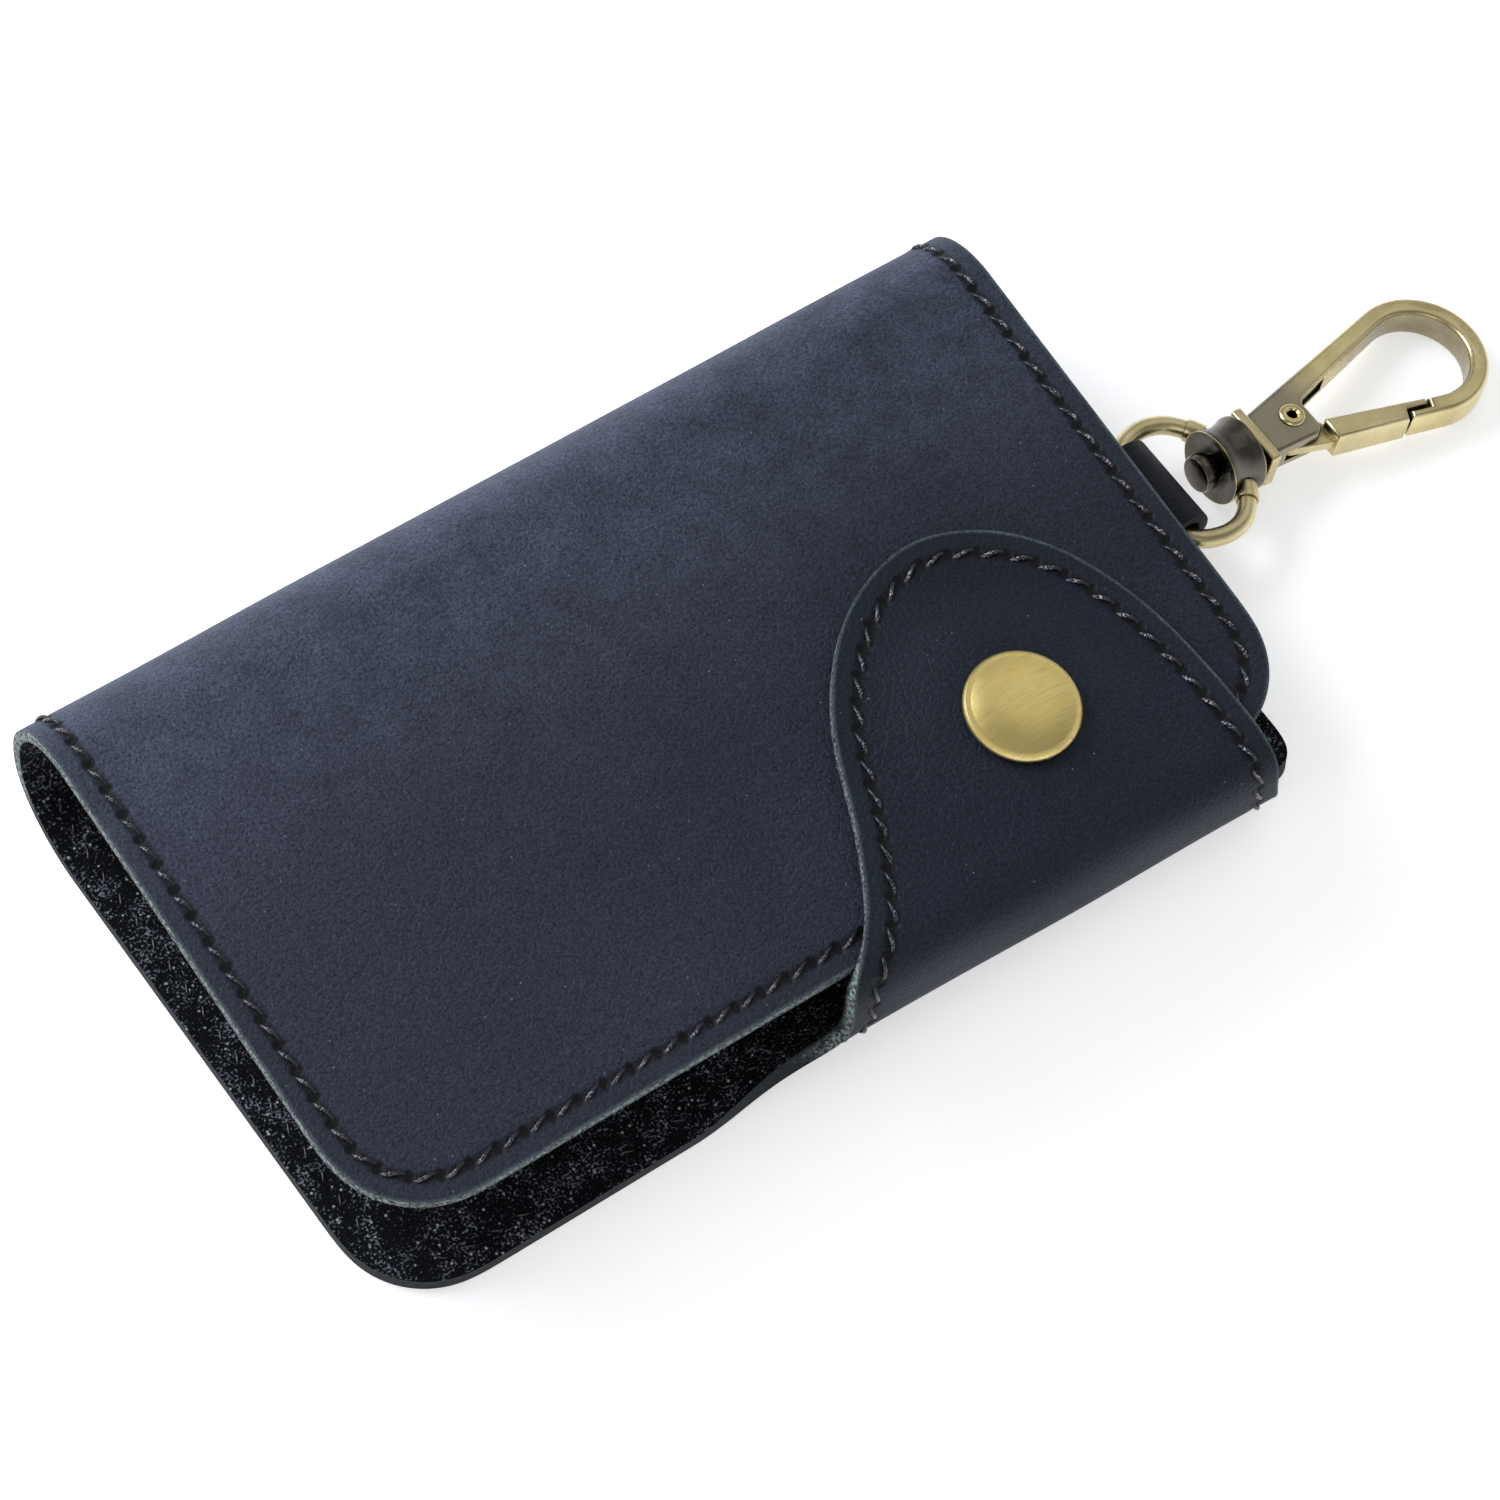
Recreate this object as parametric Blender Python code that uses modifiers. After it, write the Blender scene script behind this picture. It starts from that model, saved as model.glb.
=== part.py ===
"""Leather key pouch with a snap tab, a row of key hooks inside and a swivel snap hook.

X runs along the pouch towards the hook, Y across it towards the spine fold, and Z up.
The origin is the middle of the back panel's underside. Every length is in metres.
"""

import math

import bmesh
import bpy
from mathutils import Vector

# Pouch: plan size, and the heights of the cover's outer face over the table
pouch_length = 0.115
pouch_width = 0.0705
spine_height_left = 0.022
spine_height_right = 0.020
free_height_left = 0.0144
free_height_right = 0.0126
cover_inset = 0.0023
spine_bend = 0.0108
spine_axis_height = 0.0105

# Leather thicknesses, and the gap that touching pieces keep
back_leather = 0.0016
tab_leather = 0.0016
cover_leather = 0.0013
lining_leather = 0.0006
seat_gap = 0.0003
hinge_standoff = 0.0002
hinge_lead = 0.0004
tab_gap = 0.0006

# Corners of the back panel and of the cover
back_corner = 0.0100
back_hook_corner = 0.0050
side_curl_share = 0.4
cover_corner = 0.0110
lining_inset = 0.0004

# Closure tab: its place from the pouch's hook end, how far its fold stands out past the
# back panel's free edge, and how far it reaches over the cover
tab_end_inset = 0.0080
tab_width = 0.0533
tab_stand_left = 0.00125
tab_stand_right = 0.00275
tab_bend = 0.0100
tab_top_bend = 0.0065
top_round_share = 0.8
tab_axis_height = 0.0081
tab_reach = 0.03715
tab_root_sweep = 0.0102
tab_root_blend = 0.0180
tab_notch = 0.0012
tab_heel = 0.0012

# Snap fastener, placed from the tab's hook side and from the back panel's free edge
snap_end_inset = 0.0214
snap_edge_inset = 0.01555
snap_rise = 0.0020
snap_rise_radius = 0.0175
snap_flat_radius = 0.0060
cap_diameter = 0.0125
cap_height = 0.0017
cap_rim = 0.0006
snap_post_diameter = 0.0030
snap_wall = 0.0004
socket_diameter = 0.0095
socket_bore = 0.0056
socket_height = 0.0013
stud_flange_diameter = 0.0080
stud_diameter = 0.0036
stud_height = 0.0010
post_flange_diameter = 0.0085

# Strap loop, stitched down inside the hook end
strap_width = 0.0116
strap_leather = 0.0013
strap_hold = 0.0100
strap_flat = 0.0050

# Swivel eye, placed by the middle of its bar
bar_stand = 0.0042
bar_y = -0.0016
bar_height = 0.00688
hook_tilt = math.radians(6.3)
eye_wire = 0.0021
eye_bar_half = 0.0059
eye_half_width = 0.0078
eye_depth = 0.0102
strap_play = 0.0006
collar_start = 0.0079
collar_length = 0.0043
collar_diameter = 0.0090
collar_waist_diameter = 0.0078
stem_diameter = 0.0024
stem_head_diameter = 0.0043
stem_head_length = 0.0019
swivel_play = 0.0003

# Snap hook
neck_gap = 0.0009
neck_plate_length = 0.0011
neck_plate_width = 0.0076
neck_plate_height = 0.0050
hook_length = 0.0313
hook_bow_radius = 0.0079
hook_head_half_width = 0.0029
hook_wire = 0.0022
hook_arm_root = 0.0029
hook_thickness = 0.0038
hook_edge = 0.0004
tongue_end = 0.0073
tongue_drop = 0.0031
tongue_corner = 0.0014
latch_radius = 0.0137
latch_step = 0.0025
head_slot_height = 0.0016
head_slot_start = 0.0020
head_slot_wall = 0.0013
spring_slot_length = 0.0058
spring_slot_depth = 0.0009
spring_thickness = 0.0003

# Gate and its rivet
gate_pivot_x = 0.0050
gate_pivot_y = 0.0003
gate_back_gap = 0.0006
gate_tip_gap = 0.0003
gate_edge = 0.0003
gate_neck_radius = 0.0019
gate_neck_thickness = 0.0010
gate_rivet_diameter = 0.0030
gate_rivet_shank = 0.0018
gate_rivet_bore = 0.0011
gate_rivet_stand = 0.0004

# Key rail, its rod and its hooks
rail_end_inset = 0.0245
rail_y = -0.0020
rail_end = 0.0013
rail_room = 0.0020
rail_plate_length = 0.0110
rail_sheet = 0.0006
rod_diameter = 0.0014
rod_overhang = 0.0006
rail_slot = 0.0034
patch_thickness = 0.0013
patch_margin = 0.0026
patch_side = 0.0015
patch_overhang = 0.0015
rail_rivet_head = 0.0040
rail_rivet_shank = 0.0020
rail_rivet_dome = 0.0008
rivet_shoulder_share = 0.85
rail_rivet_inset = 0.0040
key_hook_pitch = 0.0064
key_hook_wire = 0.0013
key_hook_length = 0.0235
key_hook_half_width = 0.0022
key_hook_shank = 0.0060
key_hook_drop = math.radians(2.2)
key_eye_turn = 250

# Overrun of every cutter, and the facets of round pieces
overrun = 0.0010
round_steps = 24
small_steps = 16

half_length = pouch_length / 2
spine_out = pouch_width / 2
back_free_y = -pouch_width / 2
cover_free_y = back_free_y + cover_inset
cover_reach = spine_out - cover_free_y
tab_right = half_length - tab_end_inset
tab_left = tab_right - tab_width
tab_tip = back_free_y + tab_reach
snap_x = tab_right - snap_end_inset
snap_y = back_free_y + snap_edge_inset
bar_x = half_length + bar_stand
rail_x = half_length - rail_end_inset

# As many key hooks as the flat between the two folds holds
rail_space = pouch_width - spine_bend - tab_bend - 2 * (rail_room + patch_side + rail_end)
key_hook_count = int(rail_space / key_hook_pitch)
rail_length = key_hook_count * key_hook_pitch + 2 * rail_end


def clear_scene():
    for obj in list(bpy.data.objects):
        bpy.data.objects.remove(obj)
    for collection in list(bpy.data.collections):
        bpy.data.collections.remove(collection)


clear_scene()
pouch = bpy.data.collections.new("key_pouch")
cutters = bpy.data.collections.new("cutters")
bpy.context.scene.collection.children.link(pouch)
bpy.context.scene.collection.children.link(cutters)
cutters.hide_render = True


def material(name, colour, roughness, metallic=0.0):
    """A plain Principled material in a linear colour."""
    look = bpy.data.materials.new(name)
    look.use_nodes = True
    shader = look.node_tree.nodes["Principled BSDF"]
    shader.inputs["Base Color"].default_value = (*colour, 1)
    shader.inputs["Roughness"].default_value = roughness
    shader.inputs["Metallic"].default_value = metallic
    return look


def leather(name):
    return material(name, (0.022, 0.026, 0.036), 0.7)


def suede(name):
    return material(name, (0.008, 0.009, 0.011), 0.95)


def brass(name):
    return material(name, (0.46, 0.39, 0.21), 0.35, 1.0)


def dark_brass(name):
    return material(name, (0.20, 0.18, 0.14), 0.4, 1.0)


def finish(obj, look, carrier=None, cutter=False):
    """Gives a piece its material and its collection, and hangs it on the empty that carries it."""
    if obj.type in ("MESH", "CURVE"):
        obj.data.materials.clear()
        obj.data.materials.append(look)
    (cutters if cutter else pouch).objects.link(obj)
    if cutter:
        obj.hide_render = True
        obj.display_type = "WIRE"
    if carrier:
        obj.parent = carrier
    return obj


def pivot(name, place, turn=(0, 0, 0), carrier=None):
    """An empty on a joint's axis."""
    empty = bpy.data.objects.new(name, None)
    empty.location = place
    empty.rotation_euler = turn
    empty.parent = carrier
    pouch.objects.link(empty)
    return empty


def mesh_object(name, bm):
    mesh = bpy.data.meshes.new(name)
    bm.to_mesh(mesh)
    bm.free()
    return bpy.data.objects.new(name, mesh)


def smooth(obj, angle=math.radians(40)):
    obj.data.shade_smooth()
    obj.data.set_sharp_from_angle(angle=angle)


def boolean(obj, other, operation):
    modifier = obj.modifiers.new(other.name, "BOOLEAN")
    modifier.operation = operation
    modifier.solver = "EXACT"
    modifier.object = other


def thicken(obj, thickness):
    modifier = obj.modifiers.new("leather", "SOLIDIFY")
    modifier.thickness = thickness
    modifier.offset = -1
    modifier.use_even_offset = True


def turned(name, profile, steps=round_steps):
    """A profile of (radius, height) points, top to bottom, spun about Z."""
    bm = bmesh.new()
    points = [bm.verts.new((radius, 0, height)) for radius, height in profile]
    for first, second in zip(points, points[1:]):
        bm.edges.new((first, second))
    obj = mesh_object(name, bm)
    screw = obj.modifiers.new("turning", "SCREW")
    screw.angle = math.tau
    screw.steps = steps
    screw.render_steps = steps
    screw.use_merge_vertices = True
    screw.merge_threshold = 0.00001
    screw.use_normal_calculate = False
    return obj


def block(name, low, high):
    """A box between two corners."""
    bm = bmesh.new()
    bmesh.ops.create_cube(bm, size=1)
    low, high = Vector(low), Vector(high)
    bmesh.ops.scale(bm, vec=high - low, verts=bm.verts)
    bmesh.ops.translate(bm, vec=(low + high) / 2, verts=bm.verts)
    return mesh_object(name, bm)


def rod(name, diameter, start, end, steps=round_steps):
    """A cylinder between two points."""
    start, end = Vector(start), Vector(end)
    bm = bmesh.new()
    bmesh.ops.create_cone(
        bm,
        cap_ends=True,
        segments=steps,
        radius1=diameter / 2,
        radius2=diameter / 2,
        depth=(end - start).length,
    )
    turn = (end - start).to_track_quat("Z", "Y").to_matrix()
    bmesh.ops.rotate(bm, matrix=turn, verts=bm.verts)
    bmesh.ops.translate(bm, vec=(start + end) / 2, verts=bm.verts)
    return mesh_object(name, bm)


def curve_object(name, points, closed):
    curve = bpy.data.curves.new(name, "CURVE")
    spline = curve.splines.new("POLY")
    spline.points.add(len(points) - 1)
    for point, place in zip(spline.points, points):
        point.co = (*place, 1)
    spline.use_cyclic_u = closed
    return bpy.data.objects.new(name, curve)


def made_mesh(obj):
    """The curve's mesh, with its caps welded, in place of the curve."""
    bpy.context.scene.collection.objects.link(obj)
    bpy.context.view_layer.update()
    graph = bpy.context.evaluated_depsgraph_get()
    mesh = bpy.data.meshes.new_from_object(obj.evaluated_get(graph))
    bm = bmesh.new()
    bm.from_mesh(mesh)
    bmesh.ops.remove_doubles(bm, verts=bm.verts, dist=0.000001)
    bmesh.ops.recalc_face_normals(bm, faces=bm.faces)
    name = obj.name
    bpy.data.objects.remove(obj)
    return mesh_object(name, bm)


def tube(name, points, diameter, closed=False, roundness=2):
    obj = curve_object(name, points, closed)
    obj.data.dimensions = "3D"
    obj.data.bevel_depth = diameter / 2
    obj.data.bevel_resolution = roundness
    obj.data.use_fill_caps = True
    return made_mesh(obj)


def plate(name, outline, thickness, edge=0.0):
    """A flat outline in XY, extruded both ways, with its edges broken by a small bevel."""
    obj = curve_object(name, [(x, y, 0) for x, y in outline], True)
    obj.data.dimensions = "2D"
    obj.data.fill_mode = "BOTH"
    obj.data.extrude = thickness / 2 - edge
    obj.data.bevel_depth = edge
    obj.data.bevel_resolution = 0
    obj.data.offset = -edge
    return made_mesh(obj)


def arc(centre, radius, start, end, steps):
    """Points on an arc, angles in degrees."""
    points = []
    for step in range(steps + 1):
        angle = math.radians(start + (end - start) * step / steps)
        points.append((centre[0] + radius * math.cos(angle), centre[1] + radius * math.sin(angle)))
    return points


def bend(start, corner, end, steps, round_share=0.5523):
    """A bend from start to end, tangent to the lines that meet at the corner, and round at this share."""
    start, corner, end = Vector(start), Vector(corner), Vector(end)
    first = start.lerp(corner, round_share)
    second = end.lerp(corner, round_share)
    points = []
    for step in range(steps + 1):
        t = step / steps
        s = 1 - t
        points.append(s**3 * start + 3 * s**2 * t * first + 3 * s * t**2 * second + t**3 * end)
    return points


def smooth_through(points, steps):
    """A Catmull-Rom curve through the points."""
    ends = [2 * points[0] - points[1], *points, 2 * points[-1] - points[-2]]
    out = [points[0]]
    for i in range(1, len(ends) - 2):
        a, b, c, d = ends[i - 1 : i + 3]
        for step in range(1, steps + 1):
            t = step / steps
            squared = (2 * a - 5 * b + 4 * c - d) * t**2
            cubed = (3 * b - a - 3 * c + d) * t**3
            out.append((2 * b + (c - a) * t + squared + cubed) / 2)
    return out


def cover_height(x, y):
    """The cover's outer face over the table: it falls from the spine to its free edge."""
    along = (x + half_length) / pouch_length
    high = spine_height_left + (spine_height_right - spine_height_left) * along
    low = free_height_left + (free_height_right - free_height_left) * along
    return low + (high - low) * (y - cover_free_y) / (cover_reach - spine_bend)


def snap_lift(x, y):
    """How far the tab is lifted round the snap, which holds the two leathers apart."""
    distance = max(0, math.hypot(x - snap_x, y - snap_y) - snap_flat_radius)
    slope = min(1, distance / (snap_rise_radius - snap_flat_radius))
    return snap_rise * (0.5 + 0.5 * math.cos(math.pi * slope))


def tab_height(x, y):
    return cover_height(x, y) + tab_gap + tab_leather + snap_lift(x, y)


def tab_fold_out(x):
    """How far out the tab's fold lies: it runs a little askew to the pouch."""
    along = (x - tab_left) / tab_width
    return back_free_y - tab_stand_left - (tab_stand_right - tab_stand_left) * along


def line(first, second, steps):
    """Points after the first, up to the second."""
    return [first.lerp(second, (step + 1) / steps) for step in range(steps)]


def lofted_sheet(name, columns, thickness, look, carrier=None, turn_over=False):
    """Leather lofted from one section to the next, with its thickness on the inner side."""
    across = len(columns) - 1
    along = len(columns[0]) - 1
    bm = bmesh.new()
    bmesh.ops.create_grid(bm, x_segments=across, y_segments=along, size=1)
    for vert in bm.verts:
        column = round((vert.co.x + 1) / 2 * across)
        row = round((vert.co.y + 1) / 2 * along)
        vert.co = columns[column][row]
    if turn_over:
        bmesh.ops.reverse_faces(bm, faces=bm.faces)
    if carrier:
        bmesh.ops.translate(bm, vec=-carrier.location, verts=bm.verts)
    obj = mesh_object(name, bm)
    smooth(obj)
    thicken(obj, thickness)
    return finish(obj, look, carrier)


def corner_stations(edge, centre_x, steps):
    """Places along X round a corner, from the end edge to where the corner ends."""
    turns = [math.pi / 2 * step / steps for step in range(steps + 1)]
    return [edge + (centre_x - edge) * (1 - math.cos(turn)) for turn in turns]


def corner_end(x, free_y, radius_left, radius_right, reach=half_length):
    """Where a panel with rounded corners ends, at this place along X."""
    if x < radius_left - reach:
        inset = radius_left - (x + reach)
        return free_y + radius_left - math.sqrt(max(0, radius_left**2 - inset**2))
    if x > reach - radius_right:
        inset = radius_right - (reach - x)
        return free_y + radius_right - math.sqrt(max(0, radius_right**2 - inset**2))
    return free_y


# Hinges: one along the spine fold, one along the tab's fold, both on the leather's outer face
spine_hinge = pivot("spine_hinge", (0, spine_out + hinge_standoff, spine_axis_height))
tab_hinge = pivot("tab_hinge", (0, tab_fold_out(0) - hinge_standoff, tab_axis_height))


def fold_start(x):
    return tab_fold_out(x) + tab_bend


def fold_path(x, steps=24):
    """The tab's fold below its hinge line, from the flat back panel outwards and up."""
    out = tab_fold_out(x)
    top = tab_axis_height - seat_gap / 2
    return [*bend((out + tab_bend, 0), (out, 0), (out, top - hinge_lead), steps), Vector((out, top))]


def path_length(path):
    return sum((b - a).length for a, b in zip(path, path[1:]))


def along_path(path, distance):
    for a, b in zip(path, path[1:]):
        length = (b - a).length
        if distance <= length:
            return a.lerp(b, distance / length)
        distance -= length
    return path[-1]


def curl(x):
    """How much of the tab's bend the back panel has: all of it under the tab, little past it."""
    if x < tab_left:
        share = max(0, 1 - (tab_left - x) / tab_root_blend)
    else:
        share = max(0, 1 - max(0, x - tab_right) / (half_length - tab_right) * (1 - side_curl_share))
    return share * share * (3 - 2 * share)


root_start = tab_left - tab_root_sweep


def back_reach(x):
    """How far the back panel reaches past the start of the tab's fold, along the leather."""
    free = fold_start(x) - corner_end(x, back_free_y, back_corner, back_hook_corner)
    full = path_length(fold_path(x))
    if x <= root_start:
        return free
    if x < tab_left:
        sweep = (x - root_start) / tab_root_sweep
        return full - (full - free) * math.sqrt(1 - sweep * sweep)
    if x <= tab_right:
        return full
    if x < tab_right + tab_notch:
        sweep = (x - tab_right) / tab_notch
        return free + (full - free) * (1 - math.sin(math.pi / 2 * sweep))
    return free


def back_column(x):
    """The back panel's outer face at one place: the lower half of the spine, the flat and the fold."""
    top = spine_axis_height - seat_gap / 2
    spine = [
        Vector((spine_out, top)),
        *bend((spine_out, top - hinge_lead), (spine_out, 0), (spine_out - spine_bend, 0), 7),
    ]
    start = fold_start(x)
    flat = line(spine[-1], Vector((start, 0)), 6)
    reach = back_reach(x)
    path = fold_path(x)
    fold = []
    for distance in [*[(reach - hinge_lead) * step / 9 for step in range(1, 10)], reach]:
        straight = Vector((start - distance, 0))
        fold.append(straight.lerp(along_path(path, distance), curl(x)))
    return [Vector((x, y, z)) for y, z in [*spine, *flat, *fold]]


def back_stations():
    left = corner_stations(-half_length, back_corner - half_length, 6)
    middle = [left[-1] + (root_start - left[-1]) * i / 4 for i in (1, 2, 3)]
    root = [root_start + tab_root_sweep * math.sin(math.pi / 2 * i / 7) for i in range(8)]
    under = [tab_left + (tab_right - tab_left) * i / 9 for i in range(1, 10)]
    notch = [tab_right + tab_notch * i / 3 for i in (1, 2, 3)]
    right = [-x for x in reversed(corner_stations(-half_length, back_hook_corner - half_length, 4))]
    return [*left, *middle, *root, *under, *notch, *right]


def cover_column(x, free_y, sink=0.0, spine_steps=7, start_y=None):
    """The cover's outer face at one place, or a face that lies sink below it."""
    slope = (cover_height(x, 0) - cover_height(x, -cover_reach)) / cover_reach
    drop = sink * math.hypot(1, slope)

    def at(y):
        return Vector((y, cover_height(x, y) - drop))

    if start_y is None:
        begin = Vector((spine_out, spine_axis_height + seat_gap / 2))
        lead = begin + Vector((0, hinge_lead))
        points = [begin, *bend(lead, at(spine_out), at(spine_out - spine_bend), spine_steps)]
    else:
        points = [at(start_y)]
    points += line(points[-1], at(free_y), 9)
    return [Vector((x, y, z)) for y, z in points]


def cover_stations(reach, corner):
    left = corner_stations(-reach, corner - reach, 6)
    middle = [(corner - reach) * (1 - i / 5) for i in range(1, 10)]
    return [*left, *middle, *[-x for x in reversed(left)]]


# Back panel: the outer leather that lies on the table
back_panel = lofted_sheet(
    "back_panel", [back_column(x) for x in back_stations()], back_leather, leather("oiled leather, back")
)

# Front cover, hinged along the spine, and the thin lining stitched inside it
snap_normal = Vector((0, 0, 0))
snap_normal.x = -(cover_height(snap_x + seat_gap, snap_y) - cover_height(snap_x, snap_y)) / seat_gap
snap_normal.y = -(cover_height(snap_x, snap_y + seat_gap) - cover_height(snap_x, snap_y)) / seat_gap
snap_normal.z = 1
snap_normal.normalize()
snap_base = Vector((snap_x, snap_y, cover_height(snap_x, snap_y)))
snap_turn = snap_normal.to_track_quat("Z", "X").to_euler()

front_cover = lofted_sheet(
    "front_cover",
    [
        cover_column(x, corner_end(x, cover_free_y, cover_corner, cover_corner))
        for x in cover_stations(half_length, cover_corner)
    ],
    cover_leather,
    leather("oiled leather, cover"),
    spine_hinge,
    turn_over=True,
)
lining_sink = cover_leather + seat_gap
lining_reach = half_length - lining_inset
cover_lining = lofted_sheet(
    "cover_lining",
    [
        cover_column(
            x,
            corner_end(x, cover_free_y + lining_inset, cover_corner, cover_corner, lining_reach),
            sink=lining_sink,
            start_y=spine_out - spine_bend - back_corner,
        )
        for x in cover_stations(lining_reach, cover_corner)
    ],
    lining_leather,
    suede("suede, lining"),
    spine_hinge,
    turn_over=True,
)

# Closure tab: an arch on a waist, as shares of its width and of its reach past the fold
tab_outline_shares = (
    (0.000, 0.020),
    (0.105, 0.165),
    (0.195, 0.390),
    (0.276, 0.655),
    (0.379, 0.842),
    (0.493, 0.953),
    (0.642, 1.000),
    (0.784, 0.930),
    (0.893, 0.778),
    (0.963, 0.554),
    (0.990, 0.335),
    (1.000, 0.150),
)


def tab_outline(steps):
    """The tab's cut edge in plan, from the waist round the arch to the hook side."""
    points = []
    for across, up in tab_outline_shares:
        x = tab_left + tab_width * across
        foot = tab_fold_out(x)
        points.append(Vector((x, foot + (tab_tip - foot) * up)))
    return smooth_through(points, steps)


def tab_column(x, end_y):
    """The tab's outer face at one place, from its hinge line over the fold to its cut edge."""
    out = tab_fold_out(x)
    begin = Vector((out, tab_axis_height + seat_gap / 2))
    corner = Vector((out, tab_height(x, out)))
    top = Vector((out + tab_top_bend, tab_height(x, out + tab_top_bend)))
    fold = [begin, *bend(begin + Vector((0, hinge_lead)), corner, top, 24, top_round_share)]
    for step in range(1, 41):
        y = top.x + (tab_tip - top.x) * step / 40
        fold.append(Vector((y, tab_height(x, y))))
    reach = 0.0
    for a, b in zip(fold, fold[1:]):
        if b.x >= end_y:
            reach += (b - a).length * max(0, (end_y - a.x) / (b.x - a.x))
            break
        reach += (b - a).length
    reach = max(reach, tab_heel)
    distances = [0, *[hinge_lead + (reach - hinge_lead) * step / 15 for step in range(16)]]
    return [Vector((x, *along_path(fold, distance))) for distance in distances]


closure_tab = lofted_sheet(
    "closure_tab",
    [tab_column(x, y) for x, y in tab_outline(3)],
    tab_leather,
    leather("oiled leather, tab"),
    tab_hinge,
)


def snap_piece(name, profile, look, carrier, steps=round_steps):
    """A turned piece of the snap, standing on the cover's outer face along the snap's axis."""
    obj = finish(turned(name, profile, steps), look, carrier)
    obj.location = snap_base - carrier.location
    obj.rotation_euler = snap_turn
    return obj


def snap_hole(name, diameter, carrier):
    """The hole that the snap's post needs through a layer of leather."""
    length = snap_rise + tab_leather + cover_leather + lining_leather + overrun
    hole = finish(rod(name, diameter, (0, 0, -length), (0, 0, length)), suede(name), carrier, cutter=True)
    hole.location = snap_base - carrier.location
    hole.rotation_euler = snap_turn
    return hole


# Snap, upwards from the cover: post, stud, socket and cap
post_hole = snap_post_diameter + 2 * seat_gap
boolean(front_cover, snap_hole("cover_hole", post_hole, spine_hinge), "DIFFERENCE")
boolean(cover_lining, snap_hole("lining_hole", post_hole, spine_hinge), "DIFFERENCE")
boolean(closure_tab, snap_hole("tab_hole", post_hole, tab_hinge), "DIFFERENCE")

stack_low = -(cover_leather + seat_gap + lining_leather + seat_gap)
snap_post = snap_piece(
    "snap_post",
    [
        (0, -seat_gap),
        (snap_post_diameter / 2, -seat_gap),
        (snap_post_diameter / 2, stack_low),
        (post_flange_diameter / 2, stack_low),
        (post_flange_diameter / 2 - snap_wall / 2, stack_low - snap_wall),
        (0, stack_low - snap_wall),
    ],
    dark_brass("antique brass, post"),
    spine_hinge,
    small_steps,
)
stud_top = seat_gap + snap_wall + stud_height
snap_stud = snap_piece(
    "snap_stud",
    [
        (0, stud_top),
        (stud_diameter / 2 - snap_wall, stud_top),
        (stud_diameter / 2, stud_top - snap_wall),
        (stud_diameter / 2, stud_top - 2 * snap_wall),
        (stud_diameter / 2 - snap_wall / 2, seat_gap + snap_wall),
        (stud_flange_diameter / 2, seat_gap + snap_wall),
        (stud_flange_diameter / 2, seat_gap),
        (0, seat_gap),
    ],
    dark_brass("antique brass, stud"),
    spine_hinge,
)
socket_top = tab_gap + snap_rise - seat_gap
socket_low = socket_top - socket_height
snap_socket = snap_piece(
    "snap_socket",
    [
        (post_hole / 2, socket_top),
        (socket_diameter / 2 - snap_wall, socket_top),
        (socket_diameter / 2, socket_top - snap_wall),
        (socket_diameter / 2 - snap_wall, socket_low),
        (socket_bore / 2, socket_low),
        (socket_bore / 2, socket_top - snap_wall),
        (post_hole / 2, socket_top - snap_wall),
        (post_hole / 2, socket_top),
    ],
    dark_brass("antique brass, socket"),
    tab_hinge,
)
cap_seat = tab_gap + snap_rise + tab_leather + seat_gap
cap_radius = cap_diameter / 2
cap_profile = [(0, cap_seat + cap_height)]
for step in range(1, 5):
    share = step / 5
    cap_profile.append((cap_radius * share, cap_seat + cap_rim + (cap_height - cap_rim) * (1 - share**2)))
cap_profile += [
    (cap_radius, cap_seat + cap_rim),
    (cap_radius, cap_seat + cap_rim / 3),
    (cap_radius - cap_rim / 3, cap_seat),
    (snap_post_diameter / 2, cap_seat),
    (snap_post_diameter / 2, socket_top - snap_wall),
    (0, socket_top - snap_wall),
]
snap_cap = snap_piece("snap_cap", cap_profile, brass("antique brass, cap"), tab_hinge)

# Strap loop: one strip that lies doubled on the back panel and goes round the eye's bar
strap_low = back_leather + seat_gap + strap_leather / 2
strap_high = strap_low + strap_leather + seat_gap
strap_radius = eye_wire / 2 + strap_play + strap_leather / 2
strap_start_x = half_length - strap_hold
strap_flat_end_x = half_length - strap_flat


def strap_path():
    centre = (bar_x, bar_height)
    low_start = Vector((strap_flat_end_x, strap_low))
    high_start = Vector((strap_flat_end_x, strap_high))
    turn = arc(centre, strap_radius, -75, 100, 12)
    rise = math.radians(-75 + 90)
    low_end = Vector(turn[0])
    low_corner = Vector((low_end.x - (low_end.y - strap_low) / math.tan(rise), strap_low))
    fall = math.radians(100 - 90)
    high_end = Vector(turn[-1])
    high_corner = high_end - Vector((math.cos(fall), math.sin(fall))) * strap_radius
    lower = bend(low_start, low_corner, low_end, 6)
    upper = bend(high_end, high_corner, high_start, 8)
    ends = Vector((strap_start_x, strap_low)), Vector((strap_start_x, strap_high))
    return [ends[0], *lower, *[Vector(p) for p in turn[1:-1]], *upper, ends[1]]


def strip(name, path, width, thickness):
    """A strip of the given width along a path in XZ, its thickness shared to both sides."""
    bm = bmesh.new()
    verts = [bm.verts.new((point.x, -width / 2, point.y)) for point in path]
    edges = [bm.edges.new(pair) for pair in zip(verts, verts[1:])]
    grown = bmesh.ops.extrude_edge_only(bm, edges=edges)["geom"]
    bmesh.ops.translate(bm, vec=(0, width, 0), verts=[v for v in grown if isinstance(v, bmesh.types.BMVert)])
    obj = mesh_object(name, bm)
    smooth(obj)
    modifier = obj.modifiers.new("thickness", "SOLIDIFY")
    modifier.thickness = thickness
    modifier.offset = 0
    modifier.use_even_offset = True
    return obj


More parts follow.
